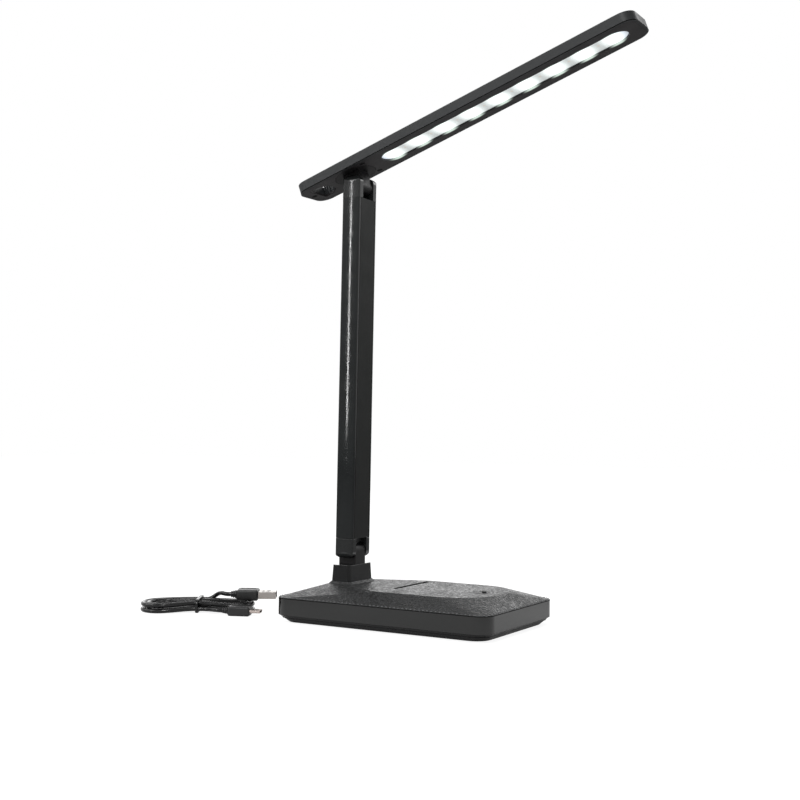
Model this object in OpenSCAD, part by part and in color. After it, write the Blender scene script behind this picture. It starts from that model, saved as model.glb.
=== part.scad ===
// Folding LED desk lamp: a weighted base with a touch key, an upright arm
// that folds down over the base, and a slim head that tilts and swivels.
// Origin: middle of the base's footprint, on the surface it stands on.
// +X runs from the hinge post towards the touch key, +Z is up.

/* [Base] */
// Length of the base
base_l = 150; // [120:1:200]
// Width of the base
base_w = 97; // [80:1:130]
// Radius of the base's upright corners
base_corner_r = 10; // [6:0.5:16]
// Height of the lower edge of the glossy side band
band_low_z = 5.2; // [4:0.1:8]
// Height of the side band
band_h = 10.6; // [8:0.1:16]
// Rise from the side band to the raised flat
crown_rise = 6.9; // [5:0.1:10]
// Wall of the base cover
cover_wall = 2; // [1.6:0.1:2.6]
// How far the pan's sides slope inwards
pan_taper = 4.6; // [2:0.1:6]
// Height of the pan's underside above the table
pan_z = 0.6; // [0.6:0.1:1.4]
// Thickness of the pan's floor and walls
pan_wall = 1.6; // [1.4:0.1:2]
// Inset of the grip pad from the pan's flat underside
pad_inset = 5; // [3:0.5:10]

/* [Raised flat] */
// Length of the raised flat at its full width
flat_l = 42; // [30:1:60]
// Width of the raised flat
flat_w = 67; // [50:1:76]
// Width of the raised flat beside the post
flat_post_w = 30; // [26:1:44]
// Corner radius at the front of the raised flat
flat_r = 27; // [12:1:28]
// Distance of the raised flat's front from the base's front
flat_front = 14; // [10:1:24]
// Length of the narrow slot
slot_l = 43.5; // [30:0.5:56]
// Width of the narrow slot
slot_w = 3; // [2:0.1:4]
// Depth of the narrow slot
slot_deep = 3.4; // [2:0.1:5]
// Distance of the slot from the post's middle
slot_from_post = 41; // [34:1:50]
// Offset of the slot's middle across the base
slot_y = 6.5; // [-8:0.1:8]
// Diameter of the touch key
key_d = 12; // [9:0.5:16]
// Distance of the touch key from the base's front
key_from_front = 28.5; // [22:0.5:34]

/* [Hinge post] */
// Distance of the post's middle from the base's back end
post_from_back = 28.2; // [24:0.2:34]
// Depth of the post at its top, along the base
post_d = 13.2; // [12.6:0.1:16]
// Width of the post at its top
post_w = 27; // [24:0.5:32]
// Extra depth and width at the foot of the post
post_flare = 1.1; // [0.4:0.1:1.6]
// Height of the post above its collar
post_h = 10.4; // [8:0.1:14]
// Height of the collar above the raised flat
collar_h = 1.4; // [1:0.1:2]
// Height of the lower pin above the post
pin_above_post = 9.1; // [8.6:0.1:12]

/* [Knuckles and pins] */
// Thickness of both knuckles along the arm's depth
knuckle_d = 12.4; // [11:0.1:12.5]
// Width of both knuckles along the pins
knuckle_w = 11.8; // [10:0.1:12]
// Corner radius of the knuckles
knuckle_r = 4.4; // [4:0.1:5.5]
// Reach of the lower knuckle past its pin
low_reach = 3.8; // [3.4:0.1:4.6]
// Reach of the upper knuckle past its pin
high_reach = 5; // [4:0.1:5.4]
// Diameter of the hinge pins
pin_d = 3; // [2.6:0.1:3.4]
// Length of each hinge pin
pin_l = 6.4; // [5:0.1:7]
// Radial clearance of a turning fit
run_gap = 0.05; // [0.03:0.01:0.08]
// Clearance between neighbouring moving faces
move_gap = 0.45; // [0.4:0.05:0.6]
// Clearance between fitted fixed parts
fit_gap = 0.1; // [0.05:0.01:0.2]
// Diameter of the wire channels
wire_hole_d = 3; // [2.6:0.1:3.4]

/* [Arm] */
// Distance between the two hinge pins
pin_span = 236.8; // [180:0.2:300]
// Depth of the arm, front to back
arm_d = 13.6; // [13:0.1:16]
// Width of the arm
arm_w = 22.2; // [20:0.1:28]
// Forward lean of the upright arm in degrees
arm_lean = 0.53; // [0:0.01:2]
// Radius of the arm's back edges
arm_back_r = 1.8; // [1.7:0.1:3]
// Radius of the arm's front edges
arm_front_r = 1.2; // [0.8:0.1:2]
// Radius of the arm's crowned sides
arm_side_r = 44; // [30:1:90]
// Wall of the arm's shell
arm_wall = 1.5; // [1.2:0.1:2]
// Reach of the lower fork past its pin
fork_low_end = 5.2; // [4.8:0.1:6.8]
// Reach of the upper fork past its pin
fork_high_end = 6.8; // [6:0.1:7]
// Depth of the lower fork's slot past its pin
fork_low_slot = 7.6; // [7.2:0.1:10]
// Depth of the upper fork's slot past its pin
fork_high_slot = 8; // [7.2:0.1:10]
// Corner radius of the forks' outer edges
fork_edge_r = 4.4; // [2:0.1:5]
// Length of the forks' spigots inside the shell
spigot_l = 14; // [10:1:24]
// Diameter of each arm wire
arm_wire_d = 1.2; // [0.8:0.1:1.3]

/* [Head] */
// Distance from the upper pin to the head's underside
neck_h = 9.5; // [9.2:0.1:12]
// Upward tilt of the head in degrees
head_tilt = 19.7; // [0:0.1:40]
// Turn of the head about its disc in degrees
head_swivel = 0; // [-40:1:40]
// Reach of the head's lit end from the swivel axis
head_tip = 210.2; // [170:0.2:226]
// Reach of the head's tail from the swivel axis
head_tail = 38.3; // [38:0.1:50]
// Width of the head
head_w = 33; // [32:0.5:40]
// Corner radius of the head
head_r = 8.5; // [5:0.5:12]
// Height of the head's side walls
side_h = 6.3; // [6:0.1:8]
// Rise of the crowned top
head_crown = 1.9; // [1:0.1:3]
// Wall of the head shell
head_wall = 1.6; // [1.2:0.1:2]
// Thickness of the head cover
plate_t = 1.5; // [1.2:0.1:1.8]
// Diameter of the turntable disc
disc_d = 27.3; // [24:0.1:27.6]
// Diameter of the swivel hub
hub_d = 8; // [6:0.1:10]

/* [Light] */
// Distance of the lens from the turntable disc
lens_from_disc = 9.4; // [6:0.1:20]
// Width of the lens
lens_w = 17.2; // [12:0.1:20]
// Distance of the lens from the head's lit end
lens_from_tip = 9.6; // [8:0.1:14]
// Number of cool white LEDs
cool_count = 9; // [5:1:12]
// Distance of the first LED from the lens's end
led_from_start = 7.4; // [5:0.1:12]
// Distance of the last LED from the lens's other end
led_from_end = 9.5; // [5:0.1:12]
// Side of a square LED
led_side = 3; // [2:0.1:3.5]
// Thickness of the LED board
board_t = 1; // [0.8:0.1:1.2]

/* [Hanging hole] */
// Distance of the hole from the tail's end
hole_from_tail = 7; // [7:0.1:8]
// Length of the hole along the head
hole_l = 12.4; // [10:0.1:12.6]
// Width of the hole across the head
hole_w = 19.5; // [12:0.5:21]
// Width of the hole's narrow end
hole_neck_w = 9; // [6:0.5:12]
// Length of the hole's slanted sides
hole_slant = 5.6; // [3:0.1:7]
// Wall around the hole
hole_wall = 1.2; // [1:0.1:1.4]

/* [USB lead] */
// Diameter of the lead
lead_d = 2.8; // [2.4:0.1:3.2]
// Length of the hank, over the middle of its outer loop
hank_l = 76; // [70:1:90]
// Half width of the hank at its waist
hank_waist = 11.3; // [10:0.1:14]
// Outward bulge of the hank's outer loop
hank_bulge = 21; // [14:0.5:24]
// Turns in the hank
hank_turns = 4.5; // [2.5:1:4.5]
// Spacing of neighbouring loops at the hank's ends
loop_step = 3.4; // [3.4:0.1:4.2]
// Spacing of neighbouring loops at the waist
waist_step = 4; // [3.8:0.1:4.2]
// Clear height between the hank's two layers
layer_gap = 0.7; // [0.5:0.1:1.2]
// Thickness of the tie
tie_t = 1.2; // [1:0.1:1.4]
// Width of the tie
tie_w = 2; // [1.6:0.1:2.6]
// Place of the hank's middle, along the base
hank_x = -145; // [-170:1:-140]
// Place of the hank's middle, across the base
hank_y = -34; // [-60:1:0]
// Turn of the hank on the table in degrees
hank_turn = 31; // [0:1:45]

/* [Hidden] */
$fn = 48;
tiny = 0.01;          // overshoot of a cut past the face it opens
charcoal = [0.13, 0.13, 0.14];
gloss_black = [0.07, 0.07, 0.08];
steel_grey = [0.72, 0.73, 0.75];
brass_gold = [0.78, 0.66, 0.36];
blend_fn = 32;        // sides of a circle under a hull

band_top_z = band_low_z + band_h;
flat_z = band_top_z + crown_rise;
post_x = post_from_back - base_l / 2;
flat_front_x = base_l / 2 - flat_front;
flat_back_x = post_x - post_d / 2 - 1.6;
collar_spread = 2.6;
collar_z = flat_z + collar_h;
post_z = collar_z + post_h;
pin_z = post_z + pin_above_post;
post_r = 2;
slot_x = post_x + slot_from_post;
key_x = base_l / 2 - key_from_front;
key_t = 0.8;
key_rise = 0.1;
roof_z = flat_z - cover_wall;

arm_crown_x = 1;      // place of the arm's greatest width, before its pins
pan_step = 0.4;       // inset of the pan's upper edge from the band
pan_floor_z = pan_z + pan_wall;
pad_t = pan_z + 0.6;  // the pad sits 0.6 deep in the pan
ballast_l = 62;
ballast_w = 66;
ballast_t = 6;
ballast_from_back = 16;
ballast_x = -base_l / 2 + ballast_from_back + ballast_l / 2;
battery_l = 48;
battery_w = 30;
battery_t = 7;
battery_gap = 4;
battery_r = 3.4;
battery_x = ballast_x + ballast_l / 2 + battery_gap + battery_l / 2;
board_z = 13.6;
board_l = 26;
board_w = 40;
pcb_t = 1.2;
spring_d = 4.4;
spring_turns = 7;
boss_d = 6;
boss_seam_z = 9.6;   // where the cover's bosses meet the pan's
base_screw_d = 2.6;
base_screw_head_d = 4.6;
base_screw_l = 9;
boss_inset = 14.5;     // of the bosses from the base's sides
base_boss_x = base_l / 2 - boss_inset;
base_boss_y = base_w / 2 - boss_inset;
socket_w = 7.5;
socket_h = 2.9;
socket_d = 6;
socket_x = -base_l / 2 + 0.4;
socket_z = (band_low_z + band_top_z) / 2;

post_screw_d = 2.4;
post_screw_y = post_w / 2 - 4;
post_screw_l = 9;
stem_d = 8;
stem_w = 10;
stem_l = 8.6;

slot_half = knuckle_w / 2 + move_gap;
washer_t = 0.3;
washer_d = 7;
arm_screw_y = 5;
arm_screw_d = 2;
arm_screw_head_d = 3.4;
arm_screw_head_t = 1.2;
high_pin = [pin_span * sin(arm_lean), 0, pin_span * cos(arm_lean)];

lens_l = head_tip - lens_from_tip - disc_d / 2 - lens_from_disc;
lens_x = head_tip - lens_from_tip - lens_l / 2;
led_pitch = (lens_l - led_from_start - led_from_end) / (cool_count - 1);
lens_flange = 1.3;
lens_t = 1.4;
lens_flange_t = 0.7;
lens_recess = 1.3;    // depth of the lens's face in its opening
led_t = 0.7;
board_top_w = 4.2;    // height of the LED board's upper face in the head
led_board_w = lens_w + 3;
led_board_l = lens_l + 2;
roof_w = 5;           // height of the head's hollow
crown_inset_y = 4;
crown_inset_tip = 7;
crown_inset_tail = 20;
disc_t = plate_t + 0.3;
flange_t = 1;
flange_d = 28.4;
hub_top_w = roof_w - 0.2;
ring_d = 18;
swivel_gap = 0.3;
head_screw_d = 1.8;
head_screw_head_d = 3.4;
head_screw_hole_d = 3.8;
head_screw_sink = 0.8;
head_boss_d = 4.4;
tail_screw_x = -head_tail + 3.9;
pair_screw_x = 12.5;
pair_screw_y = 11.2;
hole_x0 = -head_tail + hole_from_tail;

lead_r = lead_d / 2;
ring_steps = 24;      // rings to a loop
bulge_step = 1.6;     // what the bulge loses with each loop inwards
waist_ease = 0.06;    // how gently the strands part beside the tie
loop_rise = lead_d + layer_gap;
lift = tie_t + 0.1;   // the tie runs under the waist
relief_l = 4;
plug_l = 14.5;
usb_a_body_w = 14.5;
usb_a_body_h = 7;
usb_a_w = 12;
usb_a_h = 4.5;
usb_a_l = 11.6;
micro_body_w = 8.8;
micro_body_h = 6.2;
micro_w = 7;
micro_h = 2;
micro_l = 6.8;
sheet_t = 0.3;

// ---------------------------------------------------------------- shapes

// Flat rectangle with round corners, its middle at the origin
module round_rect(l, w, r) {
  square([l - 2 * r, w], center = true);
  square([l, w - 2 * r], center = true);
  for (x = [-1, 1], y = [-1, 1])
    translate([x * (l / 2 - r), y * (w / 2 - r)]) circle(r);
}

// Plate of height h with upright round corners
module plate(l, w, r, h) {
  linear_extrude(h) round_rect(l, w, r);
}

// Thin slice used as one end of a hull
module slice(l, w, r, z) {
  translate([0, 0, z]) plate(l, w, r, tiny, $fn = blend_fn);
}

// Bar along Y with its middle at the origin
module bar_y(d, l) {
  rotate([90, 0, 0]) cylinder(d = d, h = l, center = true);
}

// Outline of the raised flat, narrow at the post and round at the front
module flat_outline(inset) {
  full_back = flat_front_x - flat_l - flat_r;
  half = flat_w / 2 - inset;
  polygon([
    [flat_back_x + inset, -flat_post_w / 2 + inset],
    [full_back, -half], [flat_front_x - flat_r, -half],
    [flat_front_x - flat_r, half], [full_back, half],
    [flat_back_x + inset, flat_post_w / 2 - inset]
  ]);
  for (y = [-1, 1])
    translate([flat_front_x - flat_r, y * (flat_w / 2 - flat_r)]) circle(flat_r - inset);
  translate([flat_front_x - flat_r, -flat_w / 2 + flat_r])
    square([flat_r - inset, flat_w - 2 * flat_r]);
}

// Body of the base above the band's lower edge, grown inwards by inset
module crown_body(inset, z0) {
  top = flat_z - inset;
  shoulder = band_top_z - inset / 2;
  translate([0, 0, z0])
    plate(base_l - 2 * inset, base_w - 2 * inset, base_corner_r - inset / 2, shoulder - z0);
  hull() {
    slice(base_l - 2 * inset, base_w - 2 * inset, base_corner_r - inset / 2, shoulder - tiny);
    translate([0, 0, top - tiny]) linear_extrude(tiny) flat_outline(inset, $fn = blend_fn);
  }
}

// ---------------------------------------------------------------- base

module base_screw_places() {
  for (x = [-1, 1], y = [-1, 1])
    translate([x * base_boss_x, y * base_boss_y, 0]) children();
}

module base_cover() {
  color(charcoal)
  difference() {
    union() {
      difference() {
        union() {
          crown_body(0, band_low_z);
          translate([post_x, 0, 0]) hull() {
            slice(post_d + post_flare + 2 * collar_spread, post_w + post_flare + 2 * collar_spread,
                  post_r + collar_spread, flat_z - 0.5);
            slice(post_d + post_flare + 0.6, post_w + post_flare + 0.6, post_r, collar_z - tiny);
          }
        }
        crown_body(cover_wall, band_low_z - tiny);
      }
      // trough that closes the narrow slot
      translate([slot_x, slot_y, flat_z - slot_deep - cover_wall])
        linear_extrude(slot_deep + cover_wall / 2)
          round_rect(slot_w + 2 * cover_wall, slot_l + 2 * cover_wall, slot_w / 2);
      // screw bosses down to the pan's posts
      intersection() {
        crown_body(cover_wall / 2, boss_seam_z);
        base_screw_places() cylinder(d = boss_d, h = flat_z);
      }
    }
    translate([slot_x, slot_y, flat_z - slot_deep])
      linear_extrude(slot_deep + 1) round_rect(slot_w, slot_l, slot_w / 2 - tiny);
    // seat of the touch key
    translate([key_x, 0, flat_z - key_t]) cylinder(d = key_d + 2 * fit_gap, h = key_t + 1);
    translate([key_x, 0, roof_z - 1]) cylinder(d = spring_d + 0.6, h = cover_wall + 1);
    // post screws and wires
    for (y = [-1, 1])
      translate([post_x, y * post_screw_y, roof_z - 1]) cylinder(d = post_screw_d + 0.4, h = 6);
    translate([post_x, 0, roof_z - 1]) cylinder(d = wire_hole_d, h = 6);
    base_screw_places() translate([0, 0, boss_seam_z - 1]) cylinder(d = base_screw_d, h = 5);
    // opening for the charge socket in the back
    translate([-base_l / 2 - 1, -socket_w / 2 - 0.3, socket_z - socket_h / 2 - 0.3])
      cube([cover_wall + 2, socket_w + 0.6, socket_h + 0.6]);
  }
}

// Tapered tub: wide at the band, narrow at the table
module pan_form(inset, z0, z1) {
  hull() {
    slice(base_l - 2 * (pan_step + inset), base_w - 2 * (pan_step + inset),
          base_corner_r - pan_step, z1 - tiny);
    slice(base_l - 2 * (pan_step + pan_taper + inset), base_w - 2 * (pan_step + pan_taper + inset),
          base_corner_r - pan_step, z0);
  }
}

module base_pan() {
  lip = cover_wall + fit_gap;
  color(gloss_black)
  difference() {
    union() {
      difference() {
        pan_form(0, pan_z, band_low_z);
        pan_form(pan_wall, pan_floor_z, band_low_z + tiny);
      }
      // lip that locates the cover
      difference() {
        translate([0, 0, band_low_z - 2])
          plate(base_l - 2 * lip, base_w - 2 * lip, base_corner_r - 1, 4);
        translate([0, 0, band_low_z - 2.5])
          plate(base_l - 2 * lip - 2 * pan_wall, base_w - 2 * lip - 2 * pan_wall,
                base_corner_r - 2, 5);
      }
      base_screw_places() translate([0, 0, pan_floor_z - tiny])
        cylinder(d = boss_d, h = boss_seam_z - pan_floor_z + tiny);
      // pedestal under the charge socket
      translate([-base_l / 2 + lip + pan_wall + 0.3, -socket_w / 2, pan_floor_z - tiny])
        cube([socket_d - lip, socket_w, socket_z - socket_h / 2 - pan_floor_z + tiny]);
    }
    base_screw_places() {
      translate([0, 0, pan_z - 1]) cylinder(d = base_screw_d + 0.4, h = 12);
      translate([0, 0, pan_z - 1]) cylinder(d = base_screw_head_d + 0.4, h = 1 + 3);
    }
    translate([0, 0, pan_z - 1])
      plate(pad_l(), pad_w(), base_corner_r, 1.6);
  }
}

function pad_l() = base_l - 2 * (pan_step + pan_taper + pad_inset);
function pad_w() = base_w - 2 * (pan_step + pan_taper + pad_inset);

module grip_pad() {
  color([0.1, 0.1, 0.1])
    plate(pad_l() - 2 * fit_gap, pad_w() - 2 * fit_gap, base_corner_r - fit_gap, pad_t);
}

module ballast_plate() {
  color(steel_grey)
  difference() {
    translate([ballast_x, 0, pan_floor_z]) plate(ballast_l, ballast_w, 3, ballast_t);
    base_screw_places() translate([0, 0, pan_floor_z - 1])
      cylinder(d = boss_d + 1, h = ballast_t + 2);
  }
}

module battery() {
  color([0.35, 0.42, 0.55])
    translate([battery_x, 0, pan_floor_z]) plate(battery_l, battery_w, battery_r, battery_t);
}

module control_board() {
  color([0.1, 0.35, 0.2])
  union() {
    translate([key_x - board_l / 2, -board_w / 2, board_z]) cube([board_l, board_w, pcb_t]);
    for (x = [-1, 1], y = [-1, 1])
      translate([key_x + x * (board_l / 2 - 2), y * (board_w / 2 - 2), pan_floor_z])
        cylinder(d = 3, h = board_z - pan_floor_z);
  }
}

module charge_socket() {
  color(steel_grey)
  difference() {
    translate([socket_x, -socket_w / 2, socket_z - socket_h / 2])
      cube([socket_d, socket_w, socket_h]);
    translate([socket_x - 1, -socket_w / 2 + 0.3, socket_z - socket_h / 2 + 0.3])
      cube([socket_d, socket_w - 0.6, socket_h - 0.6]);
  }
}

module touch_key() {
  color(gloss_black)
  difference() {
    translate([key_x, 0, flat_z - key_t]) cylinder(d = key_d, h = key_t + key_rise);
    translate([key_x, 0, flat_z - 0.2])
      rotate_extrude() translate([key_d / 2 - 1.4, 0]) square([0.5, 1]);
  }
}

// Contact spring between the board and the key
module touch_spring() {
  height = flat_z - key_t - board_z - pcb_t;
  wire = height / (spring_turns - 0.06 * (spring_turns - 1));
  color(brass_gold)
  translate([key_x, 0, board_z + pcb_t + wire / 2])
    for (i = [0:spring_turns - 1])
      translate([0, 0, i * wire * 0.94])
        rotate_extrude() translate([spring_d / 2 - wire / 2, 0]) circle(d = wire);
}

module base_screws() {
  head_z = pan_z + 3;
  color(steel_grey)
  base_screw_places() translate([0, 0, head_z]) {
    translate([0, 0, -1.6]) cylinder(d = base_screw_head_d, h = 1.6);
    cylinder(d = base_screw_d, h = base_screw_l);
  }
}

module hinge_post() {
  color(gloss_black)
  translate([post_x, 0, 0])
  difference() {
    hull() {
      slice(post_d + post_flare, post_w + post_flare, post_r, collar_z);
      slice(post_d, post_w, post_r, post_z - tiny);
    }
    // pocket for the knuckle's stem
    translate([-stem_d / 2 - fit_gap, -stem_w / 2 - fit_gap, post_z - stem_l])
      cube([stem_d + 2 * fit_gap, stem_w + 2 * fit_gap, stem_l + 1]);
    translate([0, 0, collar_z - 1]) cylinder(d = wire_hole_d, h = post_h);
    for (y = [-1, 1])
      translate([0, y * post_screw_y, collar_z - 1]) cylinder(d = post_screw_d, h = 7.2);
  }
}

module post_screws() {
  color(steel_grey)
  for (y = [-1, 1])
    translate([post_x, y * post_screw_y, roof_z]) {
      translate([0, 0, -1.2]) cylinder(d = 4.4, h = 1.2);
      cylinder(d = post_screw_d, h = post_screw_l);
    }
}

// Side view of a knuckle: a round-cornered end past the pin, straight below
module knuckle_profile(reach, drop) {
  side = knuckle_d / 2 - knuckle_r;
  for (x = [-1, 1]) translate([x * side, reach - knuckle_r]) circle(knuckle_r);
  translate([-side, 0]) square([2 * side, reach]);
  translate([-knuckle_d / 2, -drop]) square([knuckle_d, drop + reach - knuckle_r]);
}

// Knuckle standing on the plane z = 0 with its pin at height drop
module knuckle(reach, drop) {
  difference() {
    translate([0, knuckle_w / 2, drop]) rotate([90, 0, 0])
      linear_extrude(knuckle_w) knuckle_profile(reach, drop);
    for (y = [-1, 1])
      translate([0, y * knuckle_w / 2, drop]) bar_y(pin_d + 2 * run_gap, 2 * pin_in_knuckle());
  }
}

function pin_in_knuckle() = pin_l - pin_in_ear() - move_gap + 0.3;
function pin_in_ear() = 3;

module lower_knuckle() {
  color(gloss_black)
  translate([post_x, 0, post_z])
  difference() {
    union() {
      knuckle(low_reach, pin_above_post);
      translate([-stem_d / 2, -stem_w / 2, -stem_l]) cube([stem_d, stem_w, stem_l + 1]);
    }
    translate([0, 0, -stem_l - 1]) cylinder(d = wire_hole_d, h = stem_l + pin_above_post + 8);
  }
}

// ---------------------------------------------------------------- arm

// Puts its children on the arm: lower pin at the origin, arm along +Z
module on_arm() {
  translate([post_x, 0, pin_z]) rotate([0, arm_lean, 0]) children();
}

// Cross-section of the arm: flat back and front, its two sides slightly crowned
module arm_profile(inset) {
  d = arm_d / 2 - inset;
  side_r = arm_side_r - inset;
  side_y = arm_w / 2 - arm_side_r;
  rb = arm_back_r - inset;
  rf = max(2 * tiny, arm_front_r - inset);
  // middles of the corner circles, which touch the end faces and the sides
  back_x = -d + rb;
  front_x = d - rf;
  back_y = side_y + sqrt(pow(side_r - rb, 2) - pow(back_x - arm_crown_x, 2));
  front_y = side_y + sqrt(pow(side_r - rf, 2) - pow(front_x - arm_crown_x, 2));
  for (m = [0, 1]) mirror([0, m]) {
    polygon([[-d, -tiny], [d, -tiny], [d, front_y], [front_x, front_y], [back_x, back_y], [-d, back_y]]);
    translate([back_x, back_y]) circle(rb);
    translate([front_x, front_y]) circle(rf);
    // slice of the side's circle between the two corners
    intersection() {
      translate([arm_crown_x, side_y]) circle(side_r, $fn = 4 * $fn);
      polygon([[back_x, 0], [front_x, 0], [front_x, front_y],
               [front_x, front_y] + 3 * unit([front_x - arm_crown_x, front_y - side_y]),
               [back_x, back_y] + 3 * unit([back_x - arm_crown_x, back_y - side_y]),
               [back_x, back_y]]);
    }
  }
}

// One fork seen with its pin at the origin and its ears pointing down
module fork(end, slot) {
  spigot_gap = arm_wall + fit_gap;
  difference() {
    union() {
      intersection() {
        // rounded as seen from the front, then as seen from the side
        intersection() {
          translate([0, 0, -end]) linear_extrude(end + slot) arm_profile(0);
          translate([-arm_d, 0, (slot - end) / 2 + arm_d / 2]) rotate([90, 0, 90])
            linear_extrude(2 * arm_d) round_rect(arm_w, end + slot + arm_d, fork_edge_r);
        }
        translate([0, arm_w, (slot - end) / 2 + arm_d / 2]) rotate([90, 0, 0])
          linear_extrude(2 * arm_w) round_rect(arm_d, end + slot + arm_d, fork_edge_r);
      }
      translate([0, 0, -tiny]) linear_extrude(slot + spigot_l) arm_profile(spigot_gap);
    }
    translate([-arm_d, -slot_half, -end - 1]) cube([2 * arm_d, 2 * slot_half, end + slot + 1]);
    for (y = [-1, 1])
      translate([0, y * slot_half, 0]) bar_y(pin_d, 2 * pin_in_ear());
    translate([0, 0, slot - 1]) cylinder(d = wire_hole_d, h = spigot_l + 2);
    translate([0, arm_screw_y, slot + spigot_l / 2]) rotate([0, 90, 0]) {
      translate([0, 0, -arm_d]) cylinder(d = arm_screw_d, h = 2 * arm_d);
      translate([0, 0, arm_d / 2 - arm_wall - fit_gap - arm_screw_head_t])
        cylinder(d = arm_screw_head_d + 2 * fit_gap, h = arm_d);
    }
  }
}

// Puts its children at the upper fork, turned so that the ears point up
module at_upper_fork() {
  on_arm() translate([0, 0, pin_span]) mirror([0, 0, 1]) children();
}

module lower_fork() {
  color(charcoal) on_arm() fork(fork_low_end, fork_low_slot);
}

module upper_fork() {
  color(charcoal) at_upper_fork() fork(fork_high_end, fork_high_slot);
}

module stub_pins() {
  color(steel_grey)
  for (y = [-1, 1])
    translate([0, y * (slot_half + pin_in_ear() - pin_l / 2), 0]) bar_y(pin_d, pin_l);
}

module lower_pins() { on_arm() stub_pins(); }
module upper_pins() { at_upper_fork() stub_pins(); }

module friction_washers() {
  color(brass_gold)
  for (y = [-1, 1])
    translate([0, y * (slot_half - washer_t / 2), 0])
      difference() {
        bar_y(washer_d, washer_t);
        bar_y(pin_d + 2 * run_gap, washer_t + 1);
      }
}

module lower_washers() { on_arm() friction_washers(); }
module upper_washers() { at_upper_fork() friction_washers(); }

// Puts its children at the arm screws' tips in the shell's back wall, along +X
module arm_screw_places() {
  for (z = [fork_low_slot + spigot_l / 2, pin_span - fork_high_slot - spigot_l / 2])
    translate([-arm_d / 2 + arm_wall / 2, arm_screw_y, z]) rotate([0, 90, 0]) children();
}

// From the screw's tip to its head's top, which lies under the arm cover
function arm_screw_reach() = arm_d - 1.5 * arm_wall - fit_gap;

shell_z0 = fork_low_slot + 0.15;
shell_z1 = pin_span - fork_high_slot - 0.15;
cover_inset = arm_front_r + 0.9;

module arm_shell() {
  color(charcoal)
  on_arm()
  difference() {
    translate([0, 0, shell_z0]) linear_extrude(shell_z1 - shell_z0) difference() {
      arm_profile(0);
      arm_profile(arm_wall);
      // front opening that the flat cover closes
      translate([arm_d / 2 - arm_wall - tiny, -arm_w / 2 + cover_inset])
        square([arm_wall + 1, arm_w - 2 * cover_inset]);
    }
    arm_screw_places() cylinder(d = arm_screw_d, h = arm_wall);
  }
}

module arm_cover() {
  width = arm_w - 2 * cover_inset - 2 * fit_gap;
  color([0.1, 0.1, 0.1])
  on_arm()
  translate([arm_d / 2 - arm_wall, -width / 2, shell_z0])
    cube([arm_wall, width, shell_z1 - shell_z0]);
}

module arm_screws() {
  color(steel_grey)
  on_arm() arm_screw_places() {
    cylinder(d = arm_screw_d - 2 * tiny, h = arm_screw_reach());
    translate([0, 0, arm_screw_reach() - arm_screw_head_t + tiny])
      cylinder(d = arm_screw_head_d, h = arm_screw_head_t - tiny);
  }
}

module arm_wires() {
  color([0.6, 0.1, 0.1])
  on_arm()
  for (y = [-1, 1])
    translate([0, y * (arm_wire_d / 2 + 0.1), fork_low_slot + 1])
      cylinder(d = arm_wire_d, h = pin_span - fork_low_slot - fork_high_slot - 2);
}

// ---------------------------------------------------------------- head

// Puts its children on the head: foot of the swivel axis on the underside,
// +X towards the lit end, +Z into the head
module on_neck() {
  translate([post_x, 0, pin_z]) translate(high_pin)
    rotate([0, -head_tilt, 0]) translate([0, 0, neck_h]) children();
}

module on_head() {
  on_neck() rotate([0, 0, head_swivel]) children();
}

module head_knuckle() {
  color(gloss_black)
  on_neck()
  difference() {
    union() {
      mirror([0, 0, 1]) knuckle(high_reach, neck_h);
      cylinder(d = disc_d, h = disc_t);
      translate([0, 0, disc_t - tiny]) cylinder(d = flange_d, h = flange_t + tiny);
      cylinder(d = hub_d, h = hub_top_w);
    }
    translate([0, 0, -neck_h - high_reach - 1]) cylinder(d = wire_hole_d, h = 2 * neck_h + 12);
  }
}

module swivel_washer() {
  color(steel_grey)
  on_neck() translate([0, 0, disc_t + flange_t])
    difference() {
      cylinder(d = ring_d - 2, h = swivel_gap - 0.05);
      translate([0, 0, -1]) cylinder(d = hub_d + 0.6, h = 3);
    }
}

// Outline of the head, shrunk by inset
module head_outline(inset) {
  translate([(head_tip - head_tail) / 2, 0])
    round_rect(head_tip + head_tail - 2 * inset, head_w - 2 * inset, head_r - inset);
}

// Outline of the hanging hole, grown by grow
module hole_outline(grow) {
  x0 = hole_x0 - grow;
  x1 = hole_x0 + hole_l + grow;
  h = hole_w / 2 + grow;
  n = hole_neck_w / 2 + grow * 0.6;
  polygon([[x0, -h], [x1 - hole_slant, -h], [x1, -n], [x1, n], [x1 - hole_slant, h], [x0, h]]);
}

module head_screw_places() {
  translate([tail_screw_x, 0, 0]) children();
  for (y = [-1, 1]) translate([pair_screw_x, y * pair_screw_y, 0]) children();
}

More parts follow.
